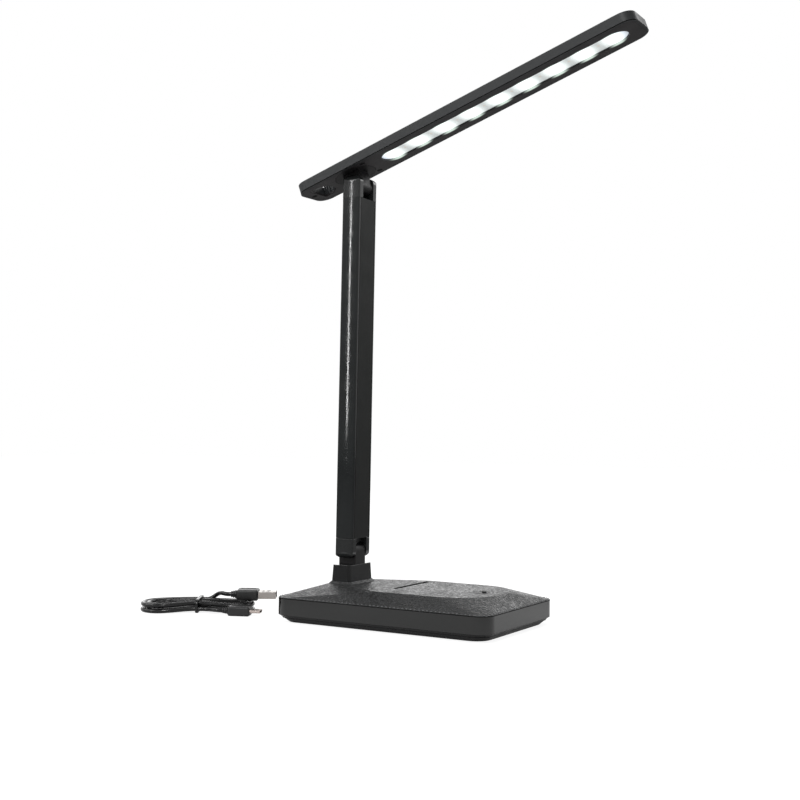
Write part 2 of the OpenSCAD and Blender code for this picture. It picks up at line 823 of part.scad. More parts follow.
module head_shell() {
  crown_l = head_tip + head_tail - crown_inset_tip - crown_inset_tail;
  crown_x = (head_tip - crown_inset_tip - head_tail + crown_inset_tail) / 2;
  color(charcoal)
  on_head()
  difference() {
    union() {
      difference() {
        union() {
          linear_extrude(side_h) head_outline(0);
          hull() {
            translate([0, 0, side_h - tiny]) linear_extrude(tiny) head_outline(0, $fn = blend_fn);
            translate([crown_x, 0, 0])
              slice(crown_l, head_w - 2 * crown_inset_y, head_r - 3, side_h + head_crown - tiny);
          }
        }
        translate([0, 0, -1]) linear_extrude(roof_w + 1) head_outline(head_wall);
      }
      // guide ring for the swivel hub
      translate([0, 0, disc_t + flange_t + swivel_gap])
        cylinder(d = ring_d, h = roof_w - disc_t - flange_t - swivel_gap + tiny);
      // wall around the hanging hole
      translate([0, 0, plate_t]) linear_extrude(roof_w - plate_t + tiny) hole_outline(hole_wall);
      // screw bosses
      head_screw_places() translate([0, 0, plate_t])
        cylinder(d = head_boss_d, h = roof_w - plate_t + tiny);
      // ribs that the LED board lies on
      for (y = [-1, 1])
        translate([lens_x - led_board_l / 2 + 2, y * (led_board_w / 2 - 2) - 0.6, board_top_w])
          cube([led_board_l - 4, 1.2, roof_w - board_top_w + tiny]);
    }
    translate([0, 0, disc_t]) cylinder(d = hub_d + 2 * run_gap + 0.2, h = roof_w - disc_t);
    translate([0, 0, -1]) linear_extrude(side_h + head_crown + 2) hole_outline(0);
    head_screw_places() translate([0, 0, plate_t - 1]) cylinder(d = head_screw_d, h = 4);
    // clear way for the disc's flange beside the front bosses
    translate([0, 0, -1]) cylinder(d = flange_d + 0.4, h = disc_t + flange_t + swivel_gap + 1);
  }
}

module head_cover() {
  color(charcoal)
  on_head()
  difference() {
    linear_extrude(plate_t) head_outline(head_wall + 0.15);
    translate([0, 0, -1]) cylinder(d = disc_d + 0.5, h = plate_t + 2);
    translate([0, 0, -1]) linear_extrude(plate_t + 2) hole_outline(0);
    translate([lens_x, 0, -1])
      linear_extrude(plate_t + 2)
        round_rect(lens_l + 2 * fit_gap, lens_w + 2 * fit_gap, lens_w / 2);
    head_screw_places() {
      translate([0, 0, -1]) cylinder(d = head_screw_hole_d, h = 1 + head_screw_sink);
      cylinder(d = head_screw_d + 0.4, h = plate_t + 1);
    }
  }
}

module head_screws() {
  color(steel_grey)
  on_head() head_screw_places() {
    translate([0, 0, 0.1]) cylinder(d = head_screw_head_d, h = head_screw_sink - 0.1);
    translate([0, 0, head_screw_sink - tiny])
      cylinder(d = head_screw_d - 2 * tiny, h = plate_t + 2.2 - head_screw_sink);
  }
}

module lens() {
  color([0.97, 0.98, 1])
  on_head() translate([lens_x, 0, 0]) {
    translate([0, 0, lens_recess])
      plate(lens_l, lens_w, lens_w / 2 - tiny, plate_t - lens_recess);
    translate([0, 0, plate_t])
      plate(lens_l + 2 * lens_flange, lens_w + 2 * lens_flange, lens_w / 2, lens_flange_t);
  }
}

module led_board() {
  color([0.9, 0.9, 0.88])
  on_head() translate([lens_x - led_board_l / 2, -led_board_w / 2, board_top_w - board_t])
    cube([led_board_l, led_board_w, board_t]);
}

// Row of LEDs on the board, count of them, starting at x0 from the lens's end
module led_row(count, x0, side) {
  on_head()
  for (i = [0:count - 1])
    translate([lens_x - lens_l / 2 + x0 + i * led_pitch - side / 2, -side / 2,
               board_top_w - board_t - led_t])
      cube([side, side, led_t]);
}

module cool_leds() { color([1, 1, 1]) led_row(cool_count, led_from_start, led_side); }

module warm_leds() {
  color([1, 0.75, 0.3]) led_row(cool_count - 1, led_from_start + led_pitch / 2, led_side - 0.6);
}

// ---------------------------------------------------------------- USB lead

// Puts its children on the table in the hank's own frame
module at_hank() {
  translate([hank_x, hank_y, 0]) rotate([0, 0, hank_turn]) children();
}

function smooth(t) = let(c = min(1, max(0, t))) c * c * (3 - 2 * c);

// Middle of the hank's tube after t turns: two flat spirals, in and out again,
// drawn in at the waist; the climb lies round the turn where they reverse
function hank_point(t) =
  let(a = 270 - 360 * t,
      o = min(t, hank_turns - t),
      open = sqrt(pow(cos(a), 2) + waist_ease) - sqrt(waist_ease),
      wide = hank_waist - waist_step * o + (hank_bulge - bulge_step * o) * open)
  [(hank_l / 2 - loop_step * o) * cos(a), wide * sin(a),
   lead_r + loop_rise * smooth(2 * (t - hank_turns / 2) + 0.5) + lift * pow(sin(a), 8)];

hank_path = concat(
  [hank_point(0) + [lead_d, 0, 0]],
  [for (i = [0:hank_turns * ring_steps]) hank_point(i / ring_steps)],
  [hank_point(hank_turns) + [lead_d, 0, 0]]);

// Least gap of the tube to itself, on points half a step apart
hank_dense = [for (i = [0:len(hank_path) - 2], f = [0, 0.5])
  hank_path[i] * (1 - f) + hank_path[i + 1] * f];
hank_gap = min([for (i = [0:len(hank_dense) - 17], j = [i + 16:len(hank_dense) - 1])
  norm(hank_dense[i] - hank_dense[j])]) - lead_d;

function unit(v) = v / norm(v);

// Direction of a path at its point i
function heading(path, i) =
  unit(path[min(i + 1, len(path) - 1)] - path[max(i - 1, 0)]);

// One closed tube round a path, its rings square to the path
module tube(path, r, sides) {
  n = len(path);
  points = [for (i = [0:n - 1])
    let(d = (i < 2 || i > n - 3) ? unit(path[i < 2 ? 1 : n - 1] - path[i < 2 ? 0 : n - 2])
                                 : heading(path, i),
        side = unit(cross(d, [0, 0, 1])),
        up = cross(side, d))
    for (k = [0:sides - 1])
      path[i] + r * (side * cos((k + 0.5) * 360 / sides) + up * sin((k + 0.5) * 360 / sides))];
  walls = [for (i = [0:n - 2], k = [0:sides - 1], half = [0, 1])
    let(a = i * sides + k, b = i * sides + (k + 1) % sides)
    half == 0 ? [a, b, b + sides] : [a, b + sides, a + sides]];
  caps = concat(
    [for (k = [1:sides - 2]) [0, k + 1, k]],
    [for (k = [1:sides - 2]) [(n - 1) * sides, (n - 1) * sides + k, (n - 1) * sides + k + 1]]);
  polyhedron(points, concat(walls, caps), convexity = 10);
}

module lead_hank() {
  echo(hank_gap = hank_gap);
  color(charcoal) at_hank() tube(hank_path, lead_r, 6);
}

module lead_tie() {
  half = hank_waist + lead_r + 0.3;
  height = 2 * lead_d + layer_gap + lift + 0.3;
  color(gloss_black)
  at_hank() translate([-tie_w / 2, 0, height / 2 + tie_t / 2 - 0.05]) rotate([90, 0, 90])
    linear_extrude(tie_w) difference() {
      round_rect(2 * half + 2 * tie_t, height + tie_t - 0.1, 3.4);
      round_rect(2 * half, height - tie_t - 0.1, 2.2);
    }
}

// Free ends of the lead, in the hank's frame
usb_a_route = [
  [2.8, 11.3, 6.2], [4.4, 11.3, 6.2], [6.2, 11.8, 6.7], [8, 12.1, 7.7], [9.8, 11.8, 9],
  [11.6, 10.6, 10], [13.2, 8.9, 10.5], [14.6, 7, 10.7], [16.2, 5.3, 10.6], [18.2, 4.1, 10.5],
  [20.6, 4, 10.5]
];
micro_route = [
  [2.8, -11.3, 2.7], [4.6, -11.3, 2.7], [6.6, -12, 2.7], [8.4, -13.2, 2.8], [10, -14.7, 2.9],
  [11.6, -16.3, 3], [13.2, -17.7, 3.1], [15.2, -18.8, 3.1], [18, -19.2, 3.1]
];
micro_turn = -8;

module usb_a_tail() { color(charcoal) at_hank() tube(usb_a_route, lead_r, 8); }
module micro_tail() { color(charcoal) at_hank() tube(micro_route, lead_r, 8); }

// Plug body lying along +X: ribbed strain relief and a block with rounded edges
module plug_body(relief_d, block_l, block_w, block_h) {
  rotate([0, 90, 0]) difference() {
    cylinder(d = relief_d, h = relief_l + tiny);
    for (i = [0:2])
      translate([0, 0, 1 + i * 1.2]) difference() {
        cylinder(d = relief_d + 1, h = 0.5);
        translate([0, 0, -1]) cylinder(d = relief_d - 0.8, h = 3);
      }
  }
  translate([relief_l, 0, 0]) rotate([90, 0, 90]) linear_extrude(block_l)
    round_rect(block_w, block_h, 1.2);
}

// Put their children at the end of a tail, along the plug
module at_usb_a() { at_hank() translate(usb_a_route[len(usb_a_route) - 1]) children(); }
module at_micro() {
  at_hank() translate(micro_route[len(micro_route) - 1]) rotate([0, 0, micro_turn]) children();
}

module usb_a_body() {
  color(gloss_black) at_usb_a() plug_body(5.4, plug_l, usb_a_body_w, usb_a_body_h);
}

module micro_body() {
  color(gloss_black) at_micro() plug_body(4.6, plug_l, micro_body_w, micro_body_h);
}

// Folded steel shell with two square windows and a long one, contacts inside
module usb_a_shell() {
  inner_w = usb_a_w - 2 * sheet_t;
  inner_h = usb_a_h - 2 * sheet_t;
  color(steel_grey)
  at_usb_a() translate([relief_l + plug_l, 0, 0]) {
    difference() {
      translate([0, -usb_a_w / 2, -usb_a_h / 2]) cube([usb_a_l, usb_a_w, usb_a_h]);
      translate([1, -inner_w / 2, -inner_h / 2]) cube([usb_a_l, inner_w, inner_h]);
      for (y = [-1, 1])
        translate([6.4, y * 2.65, 0]) translate([-1.15, -1.15, 0]) cube([2.3, 2.3, usb_a_h]);
      translate([3, 0, 0]) linear_extrude(usb_a_h) round_rect(1.6, 3.2, 0.7);
    }
    translate([0.5, -inner_w / 2, -inner_h / 2]) cube([usb_a_l - 1, inner_w, inner_h / 2]);
  }
}

module micro_shell() {
  color(steel_grey)
  at_micro() translate([relief_l + plug_l, 0, 0]) rotate([90, 0, 90]) difference() {
    linear_extrude(micro_l) micro_outline(0);
    translate([0, 0, 1]) linear_extrude(micro_l) micro_outline(sheet_t);
  }
}

// Section of a micro-USB shell: wide at the top, its lower corners cut off
module micro_outline(inset) {
  w = micro_w / 2 - inset;
  h = micro_h / 2 - inset;
  polygon([[-w, h], [-w, 0], [-w + 0.9, -h], [w - 0.9, -h], [w, 0], [w, h]]);
}

base_cover();
base_pan();
grip_pad();
ballast_plate();
battery();
control_board();
charge_socket();
touch_key();
touch_spring();
base_screws();
hinge_post();
post_screws();
lower_knuckle();
lower_fork();
lower_pins();
lower_washers();
arm_shell();
arm_cover();
arm_screws();
arm_wires();
upper_fork();
upper_pins();
upper_washers();
head_knuckle();
swivel_washer();
head_shell();
head_cover();
head_screws();
lens();
led_board();
cool_leds();
warm_leds();
lead_hank();
lead_tie();
usb_a_tail();
usb_a_body();
usb_a_shell();
micro_tail();
micro_body();
micro_shell();
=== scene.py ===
import math

import bmesh
import bpy
from mathutils import Matrix, Vector
from mathutils.bvhtree import BVHTree


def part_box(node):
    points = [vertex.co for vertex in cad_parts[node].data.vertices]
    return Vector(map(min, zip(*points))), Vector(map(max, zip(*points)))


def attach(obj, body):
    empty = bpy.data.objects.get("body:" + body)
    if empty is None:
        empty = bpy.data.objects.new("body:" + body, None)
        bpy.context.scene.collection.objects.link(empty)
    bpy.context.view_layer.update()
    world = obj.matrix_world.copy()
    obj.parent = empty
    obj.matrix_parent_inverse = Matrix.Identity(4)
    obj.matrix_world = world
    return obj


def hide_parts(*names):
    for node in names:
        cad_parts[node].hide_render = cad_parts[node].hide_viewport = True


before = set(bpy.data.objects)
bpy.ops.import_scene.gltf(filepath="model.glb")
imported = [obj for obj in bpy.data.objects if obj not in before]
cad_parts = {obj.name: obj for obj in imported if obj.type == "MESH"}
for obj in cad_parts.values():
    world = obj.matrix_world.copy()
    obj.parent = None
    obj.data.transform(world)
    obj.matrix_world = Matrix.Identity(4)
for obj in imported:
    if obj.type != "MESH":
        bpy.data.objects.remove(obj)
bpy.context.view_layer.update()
print("frame loaded:", len(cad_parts), "nodes")

scene = bpy.context.scene
scene.view_settings.view_transform = "Standard"


# camera at the photograph's place: it stands to the front right and looks slightly up
cameraSettings = {
    "place": (0.398114, -0.703383, 0.124662),   # metres
    "turn": 30.268,                             # degrees to the left of +Y
    "lift": 2.927,
    "roll": 0.617,
    "focal": 1270.093 / 800,                    # in widths of the picture
    "sensor": 36,                               # millimetres
    "shiftY": -0.05,
    "nearest": 0.01,
}


def addCamera(settings):
    turn, lift, roll = (math.radians(settings[key]) for key in ("turn", "lift", "roll"))
    forward = Vector((-math.sin(turn) * math.cos(lift), math.cos(turn) * math.cos(lift), math.sin(lift)))
    right = Vector((math.cos(turn), math.sin(turn), 0))
    up = right.cross(forward)
    rolledRight = right * math.cos(roll) + up * math.sin(roll)
    rolledUp = up * math.cos(roll) - right * math.sin(roll)
    camera = bpy.data.objects.new("camera", bpy.data.cameras.new("camera"))
    camera.data.lens = settings["focal"] * settings["sensor"]
    camera.data.sensor_width = settings["sensor"]
    camera.data.shift_y = settings["shiftY"]
    camera.data.clip_start = settings["nearest"]
    turned = Matrix((rolledRight, rolledUp, -forward)).transposed()
    camera.matrix_world = Matrix.Translation(settings["place"]) @ turned.to_4x4()
    scene.collection.objects.link(camera)
    scene.camera = camera


addCamera(cameraSettings)
print("camera placed")


# ---- lead: one line from the small plug through the hank to the large plug

millimetre = 0.001

leadSettings = {
    "thickness": 0.0028,
    "middle": (-0.145, -0.034),   # of the hank on the table
    "turn": 31,                   # degrees
    "turns": 4.5,
    "halfLength": 0.038,
    "loopStep": 0.0034,
    "waist": 0.0113,
    "waistStep": 0.004,
    "bulge": 0.021,
    "bulgeStep": 0.0016,
    "waistEase": 0.06,
    "rise": 0.0035,
    "lift": 0.0013,
    "pointsPerTurn": 96,
    "routeSteps": 4,
    "roundness": 4,
    # both tails in millimetres, in the hank's own axes
    "largePlugRoute": [
        (2.8, 11.3, 6.2), (4.4, 11.3, 6.2), (6.2, 11.8, 6.7), (8, 12.1, 7.7), (9.8, 11.8, 9),
        (11.6, 10.6, 10), (13.2, 8.9, 10.5), (14.6, 7, 10.7), (16.2, 5.3, 10.6), (18.2, 4.1, 10.5),
        (20.6, 4, 10.5),
    ],
    "smallPlugRoute": [
        (2.8, -11.3, 2.7), (4.6, -11.3, 2.7), (6.6, -12, 2.7), (8.4, -13.2, 2.8), (10, -14.7, 2.9),
        (11.6, -16.3, 3), (13.2, -17.7, 3.1), (15.2, -18.8, 3.1), (18, -19.2, 3.1),
    ],
    "smallPlugTurn": -8,      # degrees
}

hankPlace = Matrix.Translation((*leadSettings["middle"], 0)) @ Matrix.Rotation(
    math.radians(leadSettings["turn"]), 4, "Z")


def easeStep(value):
    value = min(1, max(0, value))
    return value * value * (3 - 2 * value)


def hankPoint(turn, lead):
    angle = math.radians(270 - 360 * turn)
    layer = min(turn, lead["turns"] - turn)
    ease = lead["waistEase"]
    opened = math.sqrt(math.cos(angle) ** 2 + ease) - math.sqrt(ease)
    wide = lead["waist"] - lead["waistStep"] * layer + (lead["bulge"] - lead["bulgeStep"] * layer) * opened
    height = (lead["thickness"] / 2
              + lead["rise"] * easeStep(2 * (turn - lead["turns"] / 2) + 0.5)
              + lead["lift"] * math.sin(angle) ** 8)
    return Vector(((lead["halfLength"] - lead["loopStep"] * layer) * math.cos(angle),
                   wide * math.sin(angle), height))


def softRoute(points, steps):
    # a smooth line through the route's own points
    points = [Vector(point) * millimetre for point in points]
    line = []
    for index in range(len(points) - 1):
        before = points[max(index - 1, 0)]
        start, end = points[index], points[index + 1]
        after = points[min(index + 2, len(points) - 1)]
        for step in range(steps):
            t = step / steps
            line.append(0.5 * (2 * start + (end - before) * t
                               + (2 * before - 5 * start + 4 * end - after) * t ** 2
                               + (3 * start - before - 3 * end + after) * t ** 3))
    line.append(points[-1])
    return line


def addLead(lead):
    count = round(lead["turns"] * lead["pointsPerTurn"])
    hank = [hankPoint(step / lead["pointsPerTurn"], lead) for step in range(count + 1)]
    smallTail = softRoute(lead["smallPlugRoute"], lead["routeSteps"])[::-1]
    largeTail = softRoute(lead["largePlugRoute"], lead["routeSteps"])
    line = [hankPlace @ point for point in smallTail + hank + largeTail]
    length = sum((b - a).length for a, b in zip(line, line[1:]))
    curve = bpy.data.curves.new("usbLead", "CURVE")
    curve.dimensions = "3D"
    curve.bevel_depth = 1     # so that every point's radius is the lead's own
    curve.bevel_resolution = lead["roundness"]
    spline = curve.splines.new("POLY")
    spline.points.add(len(line) - 1)
    for point, place in zip(spline.points, line):
        point.co = (*place, 1)
        point.radius = lead["thickness"] / 2
    piece = bpy.data.objects.new("usbLead", curve)
    scene.collection.objects.link(piece)
    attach(piece, "base")
    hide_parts("lead_hank", "usb_a_tail", "micro_tail")
    return piece, line, length


usbLead, leadLine, leadLength = addLead(leadSettings)
print("lead laid: %.3f m" % leadLength)


# ---- small helpers for node trees

def addNode(tree, kind, values=None, **settings):
    node = tree.nodes.new(kind)
    for key, value in settings.items():
        setattr(node, key, value)
    for key, value in (values or {}).items():
        node.inputs[key].default_value = value
    return node


def connect(tree, source, *targets):
    for target in targets:
        tree.links.new(source, target)


def addMath(tree, operation, first, second=None):
    # a math node whose inputs are sockets or plain values
    node = addNode(tree, "ShaderNodeMath", operation=operation)
    for value, socket in zip((first, second), node.inputs):
        if isinstance(value, bpy.types.NodeSocket):
            connect(tree, value, socket)
        elif value is not None:
            socket.default_value = value
    return node.outputs[0]


def addRange(tree, source, fromLow, fromHigh, toLow, toHigh, smooth=False):
    node = addNode(tree, "ShaderNodeMapRange",
                   {"From Min": fromLow, "From Max": fromHigh, "To Min": toLow, "To Max": toHigh},
                   interpolation_type="SMOOTHSTEP" if smooth else "LINEAR")
    connect(tree, source, node.inputs["Value"])
    return node.outputs[0]


def addBlend(tree, share, first, second):
    # plain number between two others
    node = addNode(tree, "ShaderNodeMix", data_type="FLOAT")
    for value, socket in zip((share, first, second), (node.inputs[0], node.inputs[2], node.inputs[3])):
        if isinstance(value, bpy.types.NodeSocket):
            connect(tree, value, socket)
        else:
            socket.default_value = value
    return node.outputs[0]


def addTint(tree, share, first, second):
    # colour between two others
    node = addNode(tree, "ShaderNodeMix", data_type="RGBA")
    connect(tree, share, node.inputs[0])
    for value, socket in zip((first, second), (node.inputs[6], node.inputs[7])):
        if isinstance(value, bpy.types.NodeSocket):
            connect(tree, value, socket)
        else:
            socket.default_value = (*value, 1)
    return node.outputs[2]


# ---- floor, room and lamps

stageSettings = {
    "floorSize": 6,
    "floorWhite": 0.9,
    "floorRough": 0.9,
    "floorMirror": 0.1,
    "seenLevel": 1.2,          # white that the picture sees on the floor
    "seenShare": 0.74,         # the rest is the floor's own shading
    "nearEdge": 0.13,          # metres from the base's middle; gloss sees a white floor inside it
    "farEdge": 0.3,
    "nearLevel": 0.64,
    "nearShare": 0.25,
    "farLevel": 0.14,
    "farShare": 0.8,
    "roomLight": 0.5,
    "roomTurn": 0.3,           # half the width of the change from the room's front to its back
    # what gloss sees of the room: sine of the height above the horizon, and the level there
    "roomBehind": [(0, 0.62), (0.09, 0.95), (0.3, 1.0), (0.45, 0.9), (0.62, 0.28), (1, 0.25)],
    "roomFront": [(0, 0.36), (0.09, 0.4), (0.2, 0.58), (0.3, 1.0), (0.5, 1.0), (0.7, 0.35),
                  (1, 0.25)],
    "lamps": [
        # name, place, aimed at, width, height, watts
        ("stripLeft", (-0.695, -1.01, 0.60), (-0.045, 0, 0.60), 0.022, 0.95, 2.4),
        ("softRight", (0.36, -1.12, 0.99), (0.15, 0, 0.36), 0.25, 0.25, 7),
        ("softFar", (-0.75, 1.35, 0.36), (0, 0, 0.02), 1.6, 0.5, 2.8),
        ("softLeft", (-1.3, -0.5, 1.0), (0, 0, 0.15), 0.6, 1.0, 5),
        ("softFront", (-0.75, -1.0, 1.25), (0.05, 0, 0.3), 0.9, 0.6, 5.5),
        ("softBack", (0.55, 1.35, 1.05), (0, 0, 0.25), 0.8, 0.6, 3.6),
        ("softTop", (0.0, 0.2, 1.6), (0, 0, 0.1), 1.0, 1.0, 6),
    ],
}


def addFloor(settings):
    floorMesh = bmesh.new()
    bmesh.ops.create_grid(floorMesh, x_segments=1, y_segments=1, size=settings["floorSize"] / 2)
    data = bpy.data.meshes.new("floor")
    floorMesh.to_mesh(data)
    floorMesh.free()
    floor = bpy.data.objects.new("floor", data)
    scene.collection.objects.link(floor)

    material = bpy.data.materials.new("paleFloor")
    material.use_nodes = True
    tree = material.node_tree
    shaded = tree.nodes["Principled BSDF"]
    shaded.inputs["Base Color"].default_value = (*[settings["floorWhite"]] * 3, 1)
    shaded.inputs["Roughness"].default_value = settings["floorRough"]
    shaded.inputs["Specular IOR Level"].default_value = settings["floorMirror"]
    rays = addNode(tree, "ShaderNodeLightPath")
    place = addNode(tree, "ShaderNodeTexCoord").outputs["Object"]
    away = addNode(tree, "ShaderNodeVectorMath", operation="LENGTH")
    connect(tree, place, away.inputs[0])
    far = addRange(tree, away.outputs["Value"], settings["nearEdge"], settings["farEdge"], 0, 1,
                   smooth=True)
    mirroredLevel = addBlend(tree, far, settings["nearLevel"], settings["farLevel"])
    mirroredShare = addBlend(tree, far, settings["nearShare"], settings["farShare"])
    seen = rays.outputs["Is Camera Ray"]
    mirrored = addMath(tree, "MULTIPLY", rays.outputs["Is Glossy Ray"], mirroredShare)
    share = addBlend(tree, seen, mirrored, settings["seenShare"])
    white = addNode(tree, "ShaderNodeEmission")
    connect(tree, addBlend(tree, seen, mirroredLevel, settings["seenLevel"]), white.inputs["Strength"])
    mixed = addNode(tree, "ShaderNodeMixShader")
    connect(tree, share, mixed.inputs[0])
    connect(tree, shaded.outputs[0], mixed.inputs[1])
    connect(tree, white.outputs[0], mixed.inputs[2])
    connect(tree, mixed.outputs[0], tree.nodes["Material Output"].inputs["Surface"])
    floor.data.materials.append(material)


def addLevels(tree, height, stops):
    # the room's level by height above the horizon
    ramp = addNode(tree, "ShaderNodeValToRGB")
    elements = ramp.color_ramp.elements
    for index, (at, level) in enumerate(stops):
        element = elements[index] if index < 2 else elements.new(at)
        element.position = at
        element.color = (level, level, level, 1)
    connect(tree, height, ramp.inputs[0])
    return ramp.outputs[0]


def addRoom(settings):
    world = bpy.data.worlds.new("paleRoom")
    scene.world = world
    world.use_nodes = True
    tree = world.node_tree
    background = tree.nodes["Background"]
    background.inputs["Color"].default_value = (1, 1, 1, 1)
    axes = addNode(tree, "ShaderNodeSeparateXYZ")
    connect(tree, addNode(tree, "ShaderNodeTexCoord").outputs["Generated"], axes.inputs[0])
    behind = addRange(tree, axes.outputs["Y"], -settings["roomTurn"], settings["roomTurn"], 0, 1,
                      smooth=True)
    levels = addBlend(tree, behind, addLevels(tree, axes.outputs["Z"], settings["roomFront"]),
                      addLevels(tree, axes.outputs["Z"], settings["roomBehind"]))
    rays = addNode(tree, "ShaderNodeLightPath")
    mirrored = addMath(tree, "MAXIMUM", rays.outputs["Is Glossy Ray"], rays.outputs["Is Transmission Ray"])
    lit = addBlend(tree, mirrored, settings["roomLight"], levels)
    connect(tree, addBlend(tree, rays.outputs["Is Camera Ray"], lit, 1), background.inputs["Strength"])


def addLamps(settings):
    for name, place, target, width, height, watts in settings["lamps"]:
        light = bpy.data.lights.new(name, "AREA")
        light.shape = "RECTANGLE"
        light.size, light.size_y = width, height
        light.energy = watts
        lamp = bpy.data.objects.new(name, light)
        lamp.location = place
        lamp.rotation_euler = (Vector(target) - Vector(place)).to_track_quat("-Z", "Y").to_euler()
        scene.collection.objects.link(lamp)


addFloor(stageSettings)
addRoom(stageSettings)
addLamps(stageSettings)
print("floor, room and lamps set")


# ---- finishes: every one is made of nodes on Object coordinates

headSettings = {
    "pivot": (-0.047812, 0, 0.289334),   # foot of the head's frame
    "tilt": 19.7,                        # degrees; the head rises towards its tip
    "tip": 0.2102,
    "tail": 0.0383,
    "width": 0.033,
    "corner": 0.0085,
}

headPlace = Matrix.Translation(headSettings["pivot"]) @ Matrix.Rotation(
    math.radians(-headSettings["tilt"]), 4, "Y")


def startMaterial(name):
    material = bpy.data.materials.new(name)
    material.use_nodes = True
    tree = material.node_tree
    coordinates = addNode(tree, "ShaderNodeTexCoord")
    return material, tree, tree.nodes["Principled BSDF"], coordinates.outputs["Object"]


def headAxes(tree, place):
    # the head's own axes: along it, across it and up through it
    turned = headPlace.inverted()
    mapping = addNode(tree, "ShaderNodeMapping",
                      {"Rotation": turned.to_euler(), "Location": turned.to_translation()})
    connect(tree, place, mapping.inputs["Vector"])
    axes = addNode(tree, "ShaderNodeSeparateXYZ")
    connect(tree, mapping.outputs[0], axes.inputs[0])
    return axes.outputs


def addNoise(tree, place, scale, detail=2):
    node = addNode(tree, "ShaderNodeTexNoise", {"Scale": scale, "Detail": detail})
    connect(tree, place, node.inputs["Vector"])
    return node.outputs[0]


noiseMiddle = (0.3, 0.7)     # most of a noise's values lie between these


def addSpread(tree, noise, low, high):
    return addRange(tree, noise, *noiseMiddle, low, high)


def shades(colour, share):
    # dark and light end of a colour
    darker, lighter = share
    return [channel * darker for channel in colour], [min(1, channel * lighter) for channel in colour]


def addCells(tree, place, size):
    node = addNode(tree, "ShaderNodeTexVoronoi", {"Scale": 1 / size}, feature="SMOOTH_F1")
    connect(tree, place, node.inputs["Vector"])
    return node.outputs["Distance"]


def addBump(tree, surface, height, depth, edge=0):
    # relief of the given depth over edges rounded by the given radius, both in metres
    bump = addNode(tree, "ShaderNodeBump", {"Strength": 1, "Distance": depth})
    connect(tree, height, bump.inputs["Height"])
    if edge:
        rounded = addNode(tree, "ShaderNodeBevel", {"Radius": edge}, samples=4)
        connect(tree, rounded.outputs[0], bump.inputs["Normal"])
    connect(tree, bump.outputs[0], surface.inputs["Normal"])


finishSettings = {
    # colour, roughness and its spread, grain size and relief in metres,
    # strength of the mirror image, edge radius
    "padRubber": {"colour": (0.012, 0.012, 0.013), "rough": 0.85, "vary": 0.1,
                  "grain": 5e-4, "depth": 5e-5},
    "glossBlack": {"colour": (0.004, 0.0042, 0.0045), "rough": 0.14, "vary": 0.06,
                   "grain": 4e-3, "depth": 1e-5, "edge": 5e-4},
    "matteBlack": {"colour": (0.012, 0.0135, 0.0145), "rough": 0.5, "vary": 0.12,
                   "grain": 5e-4, "depth": 8e-6, "mirror": 0.35, "edge": 4e-4},
    "neckBlack": {"colour": (0.007, 0.0065, 0.0068), "rough": 0.45, "vary": 0.1,
                  "grain": 5e-4, "depth": 2e-5, "mirror": 0.2, "edge": 4e-4},
    "screwBlack": {"colour": (0.003, 0.003, 0.003), "rough": 0.6, "vary": 0.1,
                   "grain": 4e-4, "depth": 2e-5, "mirror": 0.1},
    "cordBlack": {"colour": (0.003, 0.003, 0.0034), "rough": 0.22, "vary": 0.08,
                  "grain": 1.2e-3, "depth": 4e-6, "mirror": 0.35},
    "plugBlack": {"colour": (0.006, 0.006, 0.0065), "rough": 0.42, "vary": 0.14,
                  "grain": 6e-4, "depth": 6e-5, "edge": 3e-4},
    "stitchGrey": {"colour": (0.085, 0.087, 0.09), "rough": 0.45, "vary": 0.1,
                   "grain": 5e-4, "depth": 1e-5},
    # black of the ribbons that paint shade in the rim's groove, the slot and the head's seam
    "paintedShadeBlack": {"colour": (0.002, 0.002, 0.002), "rough": 0.7, "vary": 0.1,
                    "grain": 5e-4, "depth": 1e-5, "mirror": 0.05},
    "plugSteel": {"colour": (0.40, 0.375, 0.355), "rough": 0.3, "vary": 0.14,
                  "grain": 8e-4, "depth": 2e-5, "metal": 1, "edge": 2e-4},
    "rosySteel": {"colour": (0.62, 0.54, 0.50), "rough": 0.28, "vary": 0.1,
                  "grain": 1e-3, "depth": 1e-5, "metal": 1, "edge": 2e-4},
    "brightSteel": {"colour": (0.6, 0.6, 0.61), "rough": 0.28, "vary": 0.1,
                    "grain": 8e-4, "depth": 1e-5, "metal": 1},
    "ballastSteel": {"colour": (0.32, 0.32, 0.34), "rough": 0.5, "vary": 0.15,
                     "grain": 2e-3, "depth": 3e-5, "metal": 1},
    "brassParts": {"colour": (0.63, 0.46, 0.18), "rough": 0.32, "vary": 0.1,
                   "grain": 1e-3, "depth": 1e-5, "metal": 1},
    "cellWrap": {"colour": (0.05, 0.16, 0.42), "rough": 0.35, "vary": 0.08,
                 "grain": 3e-3, "depth": 2e-5},
    "circuitGreen": {"colour": (0.01, 0.12, 0.04), "rough": 0.4, "vary": 0.1,
                     "grain": 1.5e-3, "depth": 2e-5},
    "boardWhite": {"colour": (0.75, 0.75, 0.72), "rough": 0.5, "vary": 0.1,
                   "grain": 1.2e-3, "depth": 1e-5},
    "wireRed": {"colour": (0.45, 0.02, 0.02), "rough": 0.4, "vary": 0.1,
                "grain": 1.2e-3, "depth": 1e-5},
}

mottleSettings = {
    "broadScale": 60,
    "fine": 0.4,              # shares of the fine and the broad noise
    "broad": 0.6,
    "metalSpan": (0.88, 1.12),
    "plainSpan": (0.7, 1.3),
}


